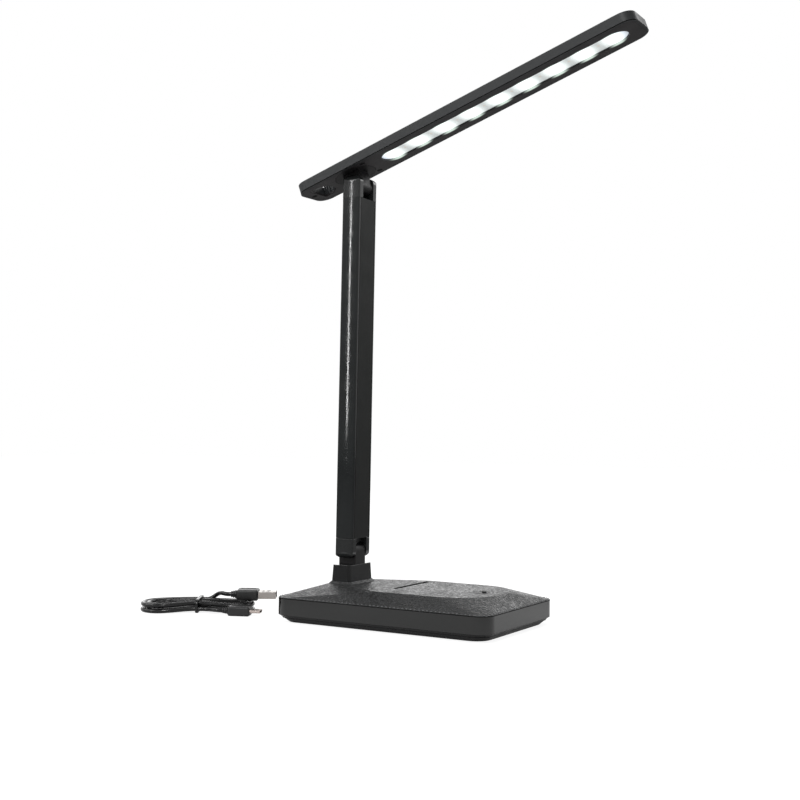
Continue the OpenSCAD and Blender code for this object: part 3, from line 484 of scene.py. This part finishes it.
def plainFinish(name, colour, rough, vary, grain, depth, metal=0, mirror=0.5, edge=0):
    material, tree, surface, place = startMaterial(name)
    surface.inputs["Metallic"].default_value = metal
    surface.inputs["Specular IOR Level"].default_value = mirror
    fine = addNoise(tree, place, 1 / grain, 3)
    broad = addNoise(tree, place, mottleSettings["broadScale"], 4)
    mottled = addMath(tree, "ADD", addMath(tree, "MULTIPLY", fine, mottleSettings["fine"]),
                      addMath(tree, "MULTIPLY", broad, mottleSettings["broad"]))
    dark, light = shades(colour, mottleSettings["metalSpan" if metal else "plainSpan"])
    connect(tree, addTint(tree, mottled, dark, light), surface.inputs["Base Color"])
    worn = addSpread(tree, broad, rough - vary / 2, rough + vary / 2)
    connect(tree, worn, surface.inputs["Roughness"])
    addBump(tree, surface, fine, depth, edge)
    return material


finishes = {name: plainFinish(name, **settings) for name, settings in finishSettings.items()}


coverSettings = {
    "leather": (0.0075, 0.008, 0.0084),
    "band": (0.0045, 0.0048, 0.0046),
    "bandTop": 0.0156,        # metres; the leather grain starts here
    "bandBlend": 0.0002,
    "cell": 0.0016,
    "warpScale": 1400,
    "warpShare": 0.8,
    "grainFrom": 0.55,        # range of the grain's height over which its shade changes
    "grainTo": 1.05,
    "grainSpan": (0.15, 2),
    "grainDepth": 4e-4,
    "grainRough": 0.3,
    "grainWorn": 0.07,
    "valleyRough": 0.27,      # added in the grain's valleys
    "valleyFrom": 0.5,
    "valleyTo": 1.1,
    "bandRough": 0.1,
    "bandWorn": (-0.03, 0.05),
    "bandWave": 6e-6,
    "waveScale": 55,
    "wornScale": 70,
    "edge": 2e-4,
}


def coverFinish(name, settings):
    # leather grain on the top, smooth gloss on the side band
    material, tree, surface, place = startMaterial(name)
    height = addNode(tree, "ShaderNodeSeparateXYZ")
    connect(tree, place, height.inputs[0])
    top = addRange(tree, height.outputs["Z"], settings["bandTop"],
                   settings["bandTop"] + settings["bandBlend"], 0, 1)
    cells = addCells(tree, place, settings["cell"])
    warp = addNoise(tree, place, settings["warpScale"], 3)
    pebbles = addMath(tree, "ADD", cells, addMath(tree, "MULTIPLY", warp, settings["warpShare"]))
    wave = addMath(tree, "MULTIPLY", addNoise(tree, place, settings["waveScale"], 1),
                   settings["bandWave"] / settings["grainDepth"])
    addBump(tree, surface, addBlend(tree, top, wave, pebbles), settings["grainDepth"], settings["edge"])
    worn = addNoise(tree, place, settings["wornScale"], 4)
    leatherRough = addSpread(tree, worn, settings["grainRough"] - settings["grainWorn"],
                             settings["grainRough"] + settings["grainWorn"])
    bandRough = addSpread(tree, worn, *(settings["bandRough"] + change for change in settings["bandWorn"]))
    valleys = addRange(tree, pebbles, settings["valleyFrom"], settings["valleyTo"],
                       settings["valleyRough"], 0, smooth=True)
    grainRough = addMath(tree, "ADD", leatherRough, valleys)
    connect(tree, addBlend(tree, top, bandRough, grainRough), surface.inputs["Roughness"])
    shade = addRange(tree, pebbles, settings["grainFrom"], settings["grainTo"], 1, 0, smooth=True)
    grained = addTint(tree, shade, *shades(settings["leather"], settings["grainSpan"]))
    connect(tree, addTint(tree, top, settings["band"], grained), surface.inputs["Base Color"])
    return material


panSettings = {
    "colour": (0.003, 0.003, 0.0034),
    "span": (0.7, 1.4),
    "mirror": 0.15,
    "rough": 0.26,
    "worn": (-0.05, 0.08),
    "broadScale": 80,
    "waveScale": 1200,
    "wave": 1e-5,
    "edge": 6e-4,
}


def panFinish(name, settings):
    # smooth dark underside with little gloss
    material, tree, surface, place = startMaterial(name)
    surface.inputs["Specular IOR Level"].default_value = settings["mirror"]
    broad = addNoise(tree, place, settings["broadScale"], 3)
    dark, light = shades(settings["colour"], settings["span"])
    connect(tree, addTint(tree, broad, dark, light), surface.inputs["Base Color"])
    rough = addSpread(tree, broad, *(settings["rough"] + change for change in settings["worn"]))
    connect(tree, rough, surface.inputs["Roughness"])
    wave = addNoise(tree, place, settings["waveScale"], 2)
    addBump(tree, surface, wave, settings["wave"], settings["edge"])
    return material


hammeredSettings = {
    "colour": (0.006, 0.0072, 0.0074),
    "span": (0.6, 1.6),
    "dimple": 0.0009,
    "rippleScale": 900,
    "rippleShare": 0.7,
    "depth": 1.2e-5,
    "rough": 0.09,
    "worn": (-0.04, 0.06),
    "wornScale": 90,
    "edge": 4e-4,
}


def hammeredFinish(name, settings):
    # orange-peel paint of the arm's outer channel and its two ends
    material, tree, surface, place = startMaterial(name)
    dimples = addCells(tree, place, settings["dimple"])
    ripple = addNoise(tree, place, settings["rippleScale"], 2)
    height = addMath(tree, "ADD", dimples, addMath(tree, "MULTIPLY", ripple, settings["rippleShare"]))
    addBump(tree, surface, height, settings["depth"], settings["edge"])
    worn = addNoise(tree, place, settings["wornScale"], 3)
    rough = addSpread(tree, worn, *(settings["rough"] + change for change in settings["worn"]))
    connect(tree, rough, surface.inputs["Roughness"])
    dark, light = shades(settings["colour"], settings["span"])
    connect(tree, addTint(tree, ripple, dark, light), surface.inputs["Base Color"])
    return material


# the forks take the arm's own hammered paint in a lighter colour: painted light, as the real forks are the
# same paint
forkPaintedLighterSettings = {**hammeredSettings, "colour": (0.0105, 0.0112, 0.0112), "rough": 0.13}


stripSettings = {
    "colour": (0.0058, 0.0066, 0.0062),
    "span": (0.75, 1.3),
    "fleckScale": 1500,
    "fleckFrom": 0.62,
    "fleckTo": 0.74,
    "fleckShare": 0.5,
    "fleckLight": 4,
    "paintedGapShade": 0.0005,           # width of the painted shade along both long edges
    "paintedGapShadeSharp": 0.8,
    "paintedGapShadeColour": (0.001, 0.001, 0.001),
    "rough": 0.48,
    "worn": (-0.06, 0.06),
    "broadScale": 60,
    "grain": 4e-4,
    "depth": 2.5e-5,
    "edge": 3e-4,
    "mirror": 0.15,
}


def stripFinish(name, settings):
    # matt strip on the arm's inner face, faintly speckled, with a dark line of painted shade along the gap
    # where it meets the channel
    material, tree, surface, place = startMaterial(name)
    surface.inputs["Specular IOR Level"].default_value = settings["mirror"]
    fine = addNoise(tree, place, 1 / settings["grain"], 3)
    broad = addNoise(tree, place, settings["broadScale"], 4)
    flecks = addRange(tree, addNoise(tree, place, settings["fleckScale"], 1), settings["fleckFrom"],
                      settings["fleckTo"], 0, settings["fleckShare"])
    dark, light = shades(settings["colour"], settings["span"])
    fleckColour = [channel * settings["fleckLight"] for channel in light]
    mottled = addTint(tree, flecks, addTint(tree, broad, dark, light), fleckColour)
    axes = addNode(tree, "ShaderNodeSeparateXYZ")
    connect(tree, place, axes.inputs[0])
    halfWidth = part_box("arm_cover")[1][1]
    offMiddle = addMath(tree, "ABSOLUTE", axes.outputs["Y"])
    # painted shade of the gap along both long edges
    paintedGapShade = addRange(tree, offMiddle, halfWidth - settings["paintedGapShade"],
                    halfWidth - settings["paintedGapShade"] * settings["paintedGapShadeSharp"], 0, 1)
    connect(tree, addTint(tree, paintedGapShade, mottled, settings["paintedGapShadeColour"]), surface.inputs["Base Color"])
    rough = addSpread(tree, broad, *(settings["rough"] + change for change in settings["worn"]))
    connect(tree, addBlend(tree, paintedGapShade, rough, 1), surface.inputs["Roughness"])
    addBump(tree, surface, fine, settings["depth"], settings["edge"])
    return material


lensSettings = {
    "firstLed": 0.03045,      # along the head
    "pitch": 0.02008,
    "halfWidth": 0.0086,
    "start": 0.02305,
    "end": 0.2006,
    "fullTo": 0.0018,         # distance from an emitter within which the lens is fully lit
    "fadeTo": 0.0102,
    "glow": 1.16,
    "between": 0.36,
    "colour": (0.93, 1, 0.985),
    "endColour": (0.78, 0.86, 1),
    "lowEnd": 0.006,          # lengths over which the end colour comes in
    "highEnd": 0.009,
    "body": (0.3, 0.31, 0.31),
    "rough": 0.35,
    "streaks": (2600, 90, 90),
    "streakSpan": (0.9, 1.1),
    "streakDepth": 2e-6,
    "warmColour": (1, 0.62, 0.36),
    "warmSize": 0.00075,
    "warmBlur": 0.5,          # share of the size
    "warmShare": 0.45,
    "whiteAcross": 0.5,       # shares of the distance across the head that count
    "warmAcross": 0.6,
    "paintedSpill": 0.9,             # painted glow of the lens's light on the rim of the opening
    "paintedSpillColour": (0.85, 1, 0.9),
    "spillReach": 0.0014,
    "spillFoot": 0.0002,
    "spillFull": 0.001,
    "spillLength": 0.0075,
}


def fromEmitter(tree, along, settings):
    # distance along the head to the nearest white emitter
    shifted = addMath(tree, "SUBTRACT", along, settings["firstLed"])
    return addMath(tree, "PINGPONG", shifted, settings["pitch"] / 2)


def lengthOf(tree, first, second):
    flat = addNode(tree, "ShaderNodeCombineXYZ")
    connect(tree, first, flat.inputs["X"])
    connect(tree, second, flat.inputs["Y"])
    node = addNode(tree, "ShaderNodeVectorMath", operation="LENGTH")
    connect(tree, flat.outputs[0], node.inputs[0])
    return node.outputs["Value"]


def lensFinish(name, settings):
    # diffuser lit by the row of white emitters behind it, with the unlit warm ones showing between them
    material, tree, surface, place = startMaterial(name)
    surface.inputs["Base Color"].default_value = (*settings["body"], 1)
    surface.inputs["Roughness"].default_value = settings["rough"]
    along, across = headAxes(tree, place)[:2]
    near = fromEmitter(tree, along, settings)
    away = lengthOf(tree, near, addMath(tree, "MULTIPLY", across, settings["whiteAcross"]))
    level = addRange(tree, away, settings["fullTo"], settings["fadeTo"], settings["glow"],
                     settings["between"], smooth=True)
    streaky = addNode(tree, "ShaderNodeMapping", {"Scale": settings["streaks"]})
    lined = addNode(tree, "ShaderNodeCombineXYZ")
    connect(tree, along, lined.inputs["X"])
    connect(tree, across, lined.inputs["Y"])
    connect(tree, lined.outputs[0], streaky.inputs["Vector"])
    streaks = addSpread(tree, addNoise(tree, streaky.outputs[0], 1, 1), *settings["streakSpan"])
    connect(tree, addMath(tree, "MULTIPLY", level, streaks), surface.inputs["Emission Strength"])
    fromWarm = addMath(tree, "SUBTRACT", settings["pitch"] / 2, near)
    warmAway = lengthOf(tree, fromWarm, addMath(tree, "MULTIPLY", across, settings["warmAcross"]))
    warm = addRange(tree, warmAway, settings["warmSize"] * (1 - settings["warmBlur"]),
                    settings["warmSize"] * (1 + settings["warmBlur"]), settings["warmShare"], 0,
                    smooth=True)
    lowEnd = addRange(tree, along, settings["start"], settings["start"] + settings["lowEnd"], 1, 0)
    highEnd = addRange(tree, along, settings["end"] - settings["highEnd"], settings["end"], 0, 1)
    ends = addMath(tree, "MAXIMUM", lowEnd, highEnd)
    cool = addTint(tree, ends, settings["colour"], settings["endColour"])
    connect(tree, addTint(tree, warm, cool, settings["warmColour"]), surface.inputs["Emission Color"])
    addBump(tree, surface, streaks, settings["streakDepth"])
    return material


plateSettings = {
    "colour": (0.0112, 0.0098, 0.0106),
    "span": (0.7, 1.4),
    "rough": 0.45,
    "worn": (-0.05, 0.07),
    "broadScale": 60,
    "grain": 4.5e-4,
    "depth": 2.5e-5,
    "edge": 3e-4,
    "mirror": 0.3,
}


def plateFinish(name, settings, lens):
    # matt plate under the head, with a painted glow of the lens's light on the rim of its opening
    material, tree, surface, place = startMaterial(name)
    surface.inputs["Specular IOR Level"].default_value = settings["mirror"]
    fine = addNoise(tree, place, 1 / settings["grain"], 3)
    broad = addNoise(tree, place, settings["broadScale"], 4)
    dark, light = shades(settings["colour"], settings["span"])
    connect(tree, addTint(tree, fine, dark, light), surface.inputs["Base Color"])
    rough = addSpread(tree, broad, *(settings["rough"] + change for change in settings["worn"]))
    connect(tree, rough, surface.inputs["Roughness"])
    addBump(tree, surface, fine, settings["depth"], settings["edge"])
    along, across = headAxes(tree, place)[:2]
    near = fromEmitter(tree, along, lens)
    # distance outside the lens's outline, whose ends are round
    middle = (lens["start"] + lens["end"]) / 2
    straight = (lens["end"] - lens["start"]) / 2 - lens["halfWidth"]
    fromMiddle = addMath(tree, "ABSOLUTE", addMath(tree, "SUBTRACT", along, middle))
    beyond = addMath(tree, "SUBTRACT", fromMiddle, straight)
    outside = addMath(tree, "SUBTRACT", lengthOf(tree, addMath(tree, "MAXIMUM", beyond, 0), across),
                      lens["halfWidth"])
    # painted glow: strongest beside each white emitter, fading out from the lens's outline
    lit = addRange(tree, near, lens["spillFull"], lens["spillLength"], 1, 0, smooth=True)
    reach = addMath(tree, "ADD", addMath(tree, "MULTIPLY", lit, lens["spillReach"]), lens["spillFoot"])
    paintedSpill = addRange(tree, addMath(tree, "DIVIDE", outside, reach), 0, 1, 1, 0)
    fading = addMath(tree, "MULTIPLY", addMath(tree, "POWER", paintedSpill, 2), lit)
    strength = addMath(tree, "MULTIPLY", fading, lens["paintedSpill"])
    surface.inputs["Emission Color"].default_value = (*lens["paintedSpillColour"], 1)
    connect(tree, strength, surface.inputs["Emission Strength"])
    return material


emitterSettings = {
    "cool": (1, 1, 0.95),
    "coolStrength": 3,
    "warm": (1, 0.62, 0.22),
    # the warm emitters are unlit: this faint glow of theirs is painted light
    "warmPaintedGlow": 0.4,
    "speckleScale": 900,
    "span": (0.9, 1.1),
}


def emitterFinish(name, colour, strength, settings):
    material, tree, surface, place = startMaterial(name)
    surface.inputs["Base Color"].default_value = (*colour, 1)
    surface.inputs["Emission Color"].default_value = (*colour, 1)
    speckle = addNoise(tree, place, settings["speckleScale"])
    uneven = addRange(tree, speckle, 0, 1, *(strength * share for share in settings["span"]))
    connect(tree, uneven, surface.inputs["Emission Strength"])
    return material


finishes["baseCover"] = coverFinish("baseCover", coverSettings)
finishes["panBlack"] = panFinish("panBlack", panSettings)
finishes["hammered"] = hammeredFinish("hammered", hammeredSettings)
finishes["forkPaintedLighter"] = hammeredFinish("forkPaintedLighter", forkPaintedLighterSettings)
finishes["armStrip"] = stripFinish("armStrip", stripSettings)
finishes["lensGlow"] = lensFinish("lensGlow", lensSettings)
finishes["plateBlack"] = plateFinish("plateBlack", plateSettings, lensSettings)
finishes["coolEmitter"] = emitterFinish(
    "coolEmitter", emitterSettings["cool"], emitterSettings["coolStrength"], emitterSettings)
finishes["warmLedPaintedGlow"] = emitterFinish(
    "warmLedPaintedGlow", emitterSettings["warm"], emitterSettings["warmPaintedGlow"], emitterSettings)

nodeFinishes = {
    "baseCover": ["base_cover", "touch_key"],
    "panBlack": ["base_pan"],
    "neckBlack": ["head_knuckle", "lower_knuckle"],
    "padRubber": ["grip_pad"],
    "glossBlack": ["hinge_post"],
    "hammered": ["arm_shell"],
    "forkPaintedLighter": ["lower_fork", "upper_fork"],
    "matteBlack": ["head_shell"],
    "armStrip": ["arm_cover"],
    "plateBlack": ["head_cover"],
    "lensGlow": ["lens"],
    "coolEmitter": ["cool_leds"],
    "warmLedPaintedGlow": ["warm_leds"],
    "boardWhite": ["led_board"],
    "ballastSteel": ["ballast_plate"],
    "cellWrap": ["battery"],
    "circuitGreen": ["control_board"],
    "brightSteel": ["charge_socket", "touch_spring", "base_screws", "post_screws", "lower_pins",
                    "upper_pins"],
    "screwBlack": ["head_screws", "arm_screws"],
    "brassParts": ["lower_washers", "upper_washers", "swivel_washer"],
    "wireRed": ["arm_wires"],
    "plugSteel": ["usb_a_shell"],
    "rosySteel": ["micro_shell"],
    "plugBlack": ["usb_a_body", "micro_body"],
    "cordBlack": ["lead_tie", "lead_hank", "usb_a_tail", "micro_tail"],
}
for finish, members in nodeFinishes.items():
    for member in members:
        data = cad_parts[member].data
        data.materials.clear()
        data.materials.append(finishes[finish])
usbLead.data.materials.append(finishes["cordBlack"])
print("finishes set on", sum(len(members) for members in nodeFinishes.values()), "nodes")


# ---- new pieces

sharpFrom = 40               # degrees between two faces from which their edge stays sharp


def finishPiece(name, shape, finish, body, place=None, replaced=()):
    # the shape's place goes into its mesh, and the piece rides on its body
    if place is not None:
        bmesh.ops.transform(shape, matrix=place, verts=shape.verts)
    bmesh.ops.recalc_face_normals(shape, faces=shape.faces)
    data = bpy.data.meshes.new(name)
    shape.to_mesh(data)
    shape.free()
    for face in data.polygons:
        face.use_smooth = True
    data.set_sharp_from_angle(angle=math.radians(sharpFrom))
    data.materials.append(finishes[finish])
    piece = bpy.data.objects.new(name, data)
    scene.collection.objects.link(piece)
    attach(piece, body)
    if replaced:
        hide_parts(*replaced)
    return piece


def roundedSheet(shape, length, width, corner, segments):
    # flat sheet with round corners in the XY plane; returns its single face
    bmesh.ops.create_grid(shape, x_segments=1, y_segments=1, size=0.5)
    bmesh.ops.transform(shape, matrix=Matrix.Diagonal((length, width, 1, 1)), verts=shape.verts)
    bmesh.ops.bevel(shape, geom=shape.verts[:], offset=corner, offset_type="OFFSET", segments=segments,
                    profile=0.5, affect="VERTICES", material=-1)
    return shape.faces[:][0]


ribbonSettings = {
    "cornerSteps": 12,
    "thickness": 0.00004,
}


def addRibbon(length, width, corner, height):
    # upright wall along the edge of a rounded sheet, with a hair of thickness
    shape = bmesh.new()
    sheet = roundedSheet(shape, length, width, corner, ribbonSettings["cornerSteps"])
    raised = bmesh.ops.extrude_edge_only(shape, edges=sheet.edges[:])["geom"]
    bmesh.ops.translate(shape, vec=(0, 0, height),
                        verts=[part for part in raised if isinstance(part, bmesh.types.BMVert)])
    bmesh.ops.delete(shape, geom=[sheet], context="FACES_ONLY")
    bmesh.ops.recalc_face_normals(shape, faces=shape.faces)
    bmesh.ops.solidify(shape, geom=shape.faces[:], thickness=ribbonSettings["thickness"])
    return shape


rimSettings = {
    "length": 0.15,
    "width": 0.097,
    "corner": 0.01,
    "grooveFoot": 0.01535,
    "grooveHeight": 0.00042,
    "proud": 0.00004,
    "inset": 0.0008,          # of the stitch row from the rim
    "pitch": 0.0028,
    # half sizes: along the row, across it, up
    "stitch": (0.00075, 0.0004, 0.00042),
    "sunk": 0.00003,
    "cornerSteps": 8,
    "above": 0.1,             # height from which the cover's surface is looked up
}


def walkLoop(points, pitch):
    # evenly spaced places on a closed line, each with the line's direction there
    total = sum((b - a).length for a, b in zip(points, points[1:] + points[:1]))
    step = total / round(total / pitch)
    places, carried = [], 0
    for start, end in zip(points, points[1:] + points[:1]):
        span = (end - start).length
        direction = (end - start).normalized()
        while carried < span - 1e-9:
            places.append((start + direction * carried, direction))
            carried += step
        carried -= span
    return places


def addRim(settings):
    proud = settings["proud"]
    # black ribbon round the rim at its groove: painted shade of the groove
    groove = addRibbon(settings["length"] + 2 * proud, settings["width"] + 2 * proud,
                       settings["corner"] + proud, settings["grooveHeight"])
    finishPiece("rimGrooveShade", groove, "paintedShadeBlack", "base",
                Matrix.Translation((0, 0, settings["grooveFoot"])))

    row = bmesh.new()
    inset = settings["inset"]
    outline = roundedSheet(row, settings["length"] - 2 * inset, settings["width"] - 2 * inset,
                           settings["corner"] - inset, settings["cornerSteps"])
    line = [corner.co.copy() for corner in outline.verts]
    row.free()
    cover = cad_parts["base_cover"].data
    surface = BVHTree.FromPolygons([corner.co for corner in cover.vertices],
                                   [face.vertices[:] for face in cover.polygons])
    stitches = bmesh.new()
    above, down = Vector((0, 0, settings["above"])), Vector((0, 0, -1))
    for place, direction in walkLoop(line, settings["pitch"]):
        hit, normal = surface.ray_cast(place + above, down)[:2]
        side = normal.cross(direction).normalized()
        turned = Matrix((normal.cross(side) * -1, side, normal)).transposed().to_4x4()
        sized = Matrix.Diagonal((*settings["stitch"], 1))
        moved = Matrix.Translation(hit - normal * settings["sunk"])
        bmesh.ops.create_uvsphere(stitches, u_segments=8, v_segments=5, radius=1,
                                  matrix=moved @ turned @ sized)
    finishPiece("rimStitches", stitches, "stitchGrey", "base")


addRim(rimSettings)


markSettings = {
    "centre": (0.0465, 0, 0.0228),
    "ring": 0.0058,
    "ringWall": 0.0016,
    "inner": 0.0026,
    "innerWall": 0.0011,
    "bar": (0.0012, 0.0026),
    "barShift": 0.0026,
    "height": 0.0006,
    "steps": 48,
}


def addRing(shape, radius, wall, height, steps):
    made = bmesh.ops.create_circle(shape, cap_ends=True, segments=steps, radius=radius)["verts"]
    disc = next(face for face in made[0].link_faces)
    around = bmesh.ops.inset_region(shape, faces=[disc], thickness=wall, use_even_offset=True)["faces"]
    bmesh.ops.delete(shape, geom=[disc], context="FACES")
    raised = bmesh.ops.extrude_face_region(shape, geom=around)["geom"]
    bmesh.ops.translate(shape, vec=(0, 0, height),
                        verts=[part for part in raised if isinstance(part, bmesh.types.BMVert)])


def addTouchMark(settings):
    # plain power sign: two rings and a short bar
    shape = bmesh.new()
    height = settings["height"]
    addRing(shape, settings["ring"], settings["ringWall"], height, settings["steps"])
    addRing(shape, settings["inner"], settings["innerWall"], height, settings["steps"])
    wide, long = settings["bar"]
    middle = Matrix.Translation((settings["barShift"], 0, height / 2))
    bmesh.ops.create_cube(shape, size=1, matrix=middle @ Matrix.Diagonal((long, wide, height, 1)))
    finishPiece("touchMark", shape, "screwBlack", "base",
                Matrix.Translation(settings["centre"]))


addTouchMark(markSettings)


slotShadeSettings = {
    "centre": (-0.0058, 0.0065, 0.0195),
    "length": 0.04346,
    "width": 0.00296,
    "corner": 0.00144,
    "height": 0.0031,
}


def addSlotShade(settings):
    # black ribbon on the narrow slot's walls: painted shade in the deep slot
    ribbon = addRibbon(settings["length"], settings["width"], settings["corner"], settings["height"])
    finishPiece("slotShade", ribbon, "paintedShadeBlack", "base",
                Matrix.Translation(settings["centre"]) @ Matrix.Rotation(math.radians(90), 4, "Z"))


addSlotShade(slotShadeSettings)


seamShadeSettings = {
    "foot": -0.00003,
    "height": 0.0006,
    "proud": 0.00004,
}


def addHeadSeamShade(settings, head):
    # black ribbon between the head's walls and its plate: painted shade of the gap there
    proud = settings["proud"]
    ribbon = addRibbon(head["tip"] + head["tail"] + 2 * proud, head["width"] + 2 * proud,
                       head["corner"] + proud, settings["height"])
    middle = Matrix.Translation(((head["tip"] - head["tail"]) / 2, 0, settings["foot"]))
    finishPiece("headSeamShade", ribbon, "paintedShadeBlack", "head", headPlace @ middle)


addHeadSeamShade(seamShadeSettings, headSettings)


ribSettings = {
    "places": (-0.0304, -0.0289, -0.0268),   # along the head
    "wall": 0.00975,
    "size": (0.0006, 0.0009, 0.0052),
    "foot": 0.0021,
    "rounding": 0.00025,
    "bite": 0.0001,           # depth of a rib's foot in the wall
}


def addHangRibs(settings):
    # upright ribs on the two long walls of the hanging hole
    shape = bmesh.new()
    along, proud, tall = settings["size"]
    for place in settings["places"]:
        for side in (-1, 1):
            off = settings["wall"] - proud / 2 + settings["bite"]
            middle = Matrix.Translation((place, side * off, settings["foot"] + tall / 2))
            bmesh.ops.create_cube(shape, size=1, matrix=middle @ Matrix.Diagonal((along, proud, tall, 1)))
    bmesh.ops.bevel(shape, geom=shape.edges[:], offset=settings["rounding"], offset_type="OFFSET",
                    segments=2, profile=0.5, affect="EDGES", material=-1)
    finishPiece("hangRibs", shape, "matteBlack", "head", headPlace)


addHangRibs(ribSettings)


plugSettings = {
    "usbPlugBody": {"node": "usb_a_body", "route": "largePlugRoute", "turn": 0,
                    "relief": 0.0027, "size": (0.0145, 0.0145, 0.007)},
    "microPlugBody": {"node": "micro_body", "route": "smallPlugRoute",
                      "turn": leadSettings["smallPlugTurn"],
                      "relief": 0.0023, "size": (0.0145, 0.0088, 0.0062)},
    "flatFrom": 0.9,          # sine of the slope from which a face counts as flat
    "reliefLength": 0.004,
    "reliefSteps": 28,
    "rounding": 0.0013,
    "panel": 0.0022,          # border round the shallow grip panel
    "panelEdge": 0.0002,
    "panelDepth": 0.00025,
    "ribs": 3,
    "ribDepth": 0.0004,
    "ribFill": 0.62,          # share of the pitch that a rib takes
    "ribEdge": 0.00015,
    "ribGrowth": 0.2,         # the last rib is larger than the first by this share
    "mouth": 0.72,            # radius where the lead goes in, as a share of the largest
    "root": 0.85,
    "rootLength": 0.0005,
    "merge": 1e-6,
}


def addPlugBody(name, plug, settings):
    shape = bmesh.new()
    # strain relief: a stepped outline spun about the lead
    length, edge, growth = settings["reliefLength"], settings["ribEdge"], settings["ribGrowth"]
    outline = [(0.0, 0.0), (0.0, plug["relief"] * settings["mouth"])]
    for rib in range(settings["ribs"]):
        start = length * rib / settings["ribs"]
        end = length * (rib + settings["ribFill"]) / settings["ribs"]
        step = length * (rib + 1) / settings["ribs"]
        radius = plug["relief"] * (1 - growth + growth * rib / (settings["ribs"] - 1))
        valley = radius - settings["ribDepth"]
        outline += [(start, radius - edge), (start + edge, radius), (end - edge, radius),
                    (end, radius - edge), (end, valley), (step, valley)]
    outline.append((length + settings["rootLength"], plug["relief"] * settings["root"]))
    corners = [shape.verts.new((x, 0, r)) for x, r in outline]
    edges = [shape.edges.new(pair) for pair in zip(corners, corners[1:])]
    bmesh.ops.spin(shape, geom=corners + edges, cent=(0, 0, 0), axis=(1, 0, 0),
                   angle=2 * math.pi, steps=settings["reliefSteps"], use_merge=True)
    bmesh.ops.remove_doubles(shape, verts=shape.verts, dist=settings["merge"])
    # moulded block with round edges and a shallow grip panel on both flat sides
    block = bmesh.new()
    long, wide, high = plug["size"]
    bmesh.ops.create_cube(block, size=1, matrix=Matrix.Translation((length + long / 2, 0, 0))
                          @ Matrix.Diagonal((long, wide, high, 1)))
    flats = [face for face in block.faces if abs(face.normal.z) > settings["flatFrom"]]
    bmesh.ops.inset_individual(block, faces=flats, thickness=settings["panel"], depth=0,
                               use_even_offset=True)
    bmesh.ops.inset_individual(block, faces=flats, thickness=settings["panelEdge"],
                               depth=-settings["panelDepth"], use_even_offset=True)

    def onLongEdge(corner):
        return (abs(abs(corner.co.z) - high / 2) < settings["merge"]
                and abs(abs(corner.co.y) - wide / 2) < settings["merge"])

    def onEnd(corner):
        return min(abs(corner.co.x - length), abs(corner.co.x - length - long)) < settings["merge"]

    outer = [edge for edge in block.edges
             if all(map(onLongEdge, edge.verts)) or all(map(onEnd, edge.verts))]
    bmesh.ops.bevel(block, geom=outer, offset=settings["rounding"], offset_type="OFFSET", segments=4,
                    profile=0.5, affect="EDGES", material=-1)
    blockData = bpy.data.meshes.new("plugBlock")
    block.to_mesh(blockData)
    block.free()
    shape.from_mesh(blockData)
    bpy.data.meshes.remove(blockData)
    at = Vector(leadSettings[plug["route"]][-1]) * millimetre
    place = hankPlace @ Matrix.Translation(at) @ Matrix.Rotation(math.radians(plug["turn"]), 4, "Z")
    finishPiece(name, shape, "plugBlack", "base", place, [plug["node"]])


for plugName in ("usbPlugBody", "microPlugBody"):
    addPlugBody(plugName, plugSettings[plugName], plugSettings)


tieSettings = {
    "rounding": 0.00045,
    "merge": 1e-6,
    "flatTo": 2,              # degrees
    "sharpFrom": 60,
}


def addTieBand(settings):
    # the tie's own loop with its edges rounded like a cord's
    shape = bmesh.new()
    shape.from_mesh(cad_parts["lead_tie"].data)
    bmesh.ops.remove_doubles(shape, verts=shape.verts, dist=settings["merge"])
    bmesh.ops.dissolve_limit(shape, angle_limit=math.radians(settings["flatTo"]), verts=shape.verts,
                             edges=shape.edges)
    sharp = [edge for edge in shape.edges
             if edge.is_manifold and edge.calc_face_angle(0) > math.radians(settings["sharpFrom"])]
    bmesh.ops.bevel(shape, geom=sharp, offset=settings["rounding"], offset_type="OFFSET", segments=3,
                    profile=0.5, affect="EDGES", material=-1)
    finishPiece("tieBand", shape, "cordBlack", "base", replaced=["lead_tie"])


addTieBand(tieSettings)
print("new pieces made")


bpy.context.view_layer.update()
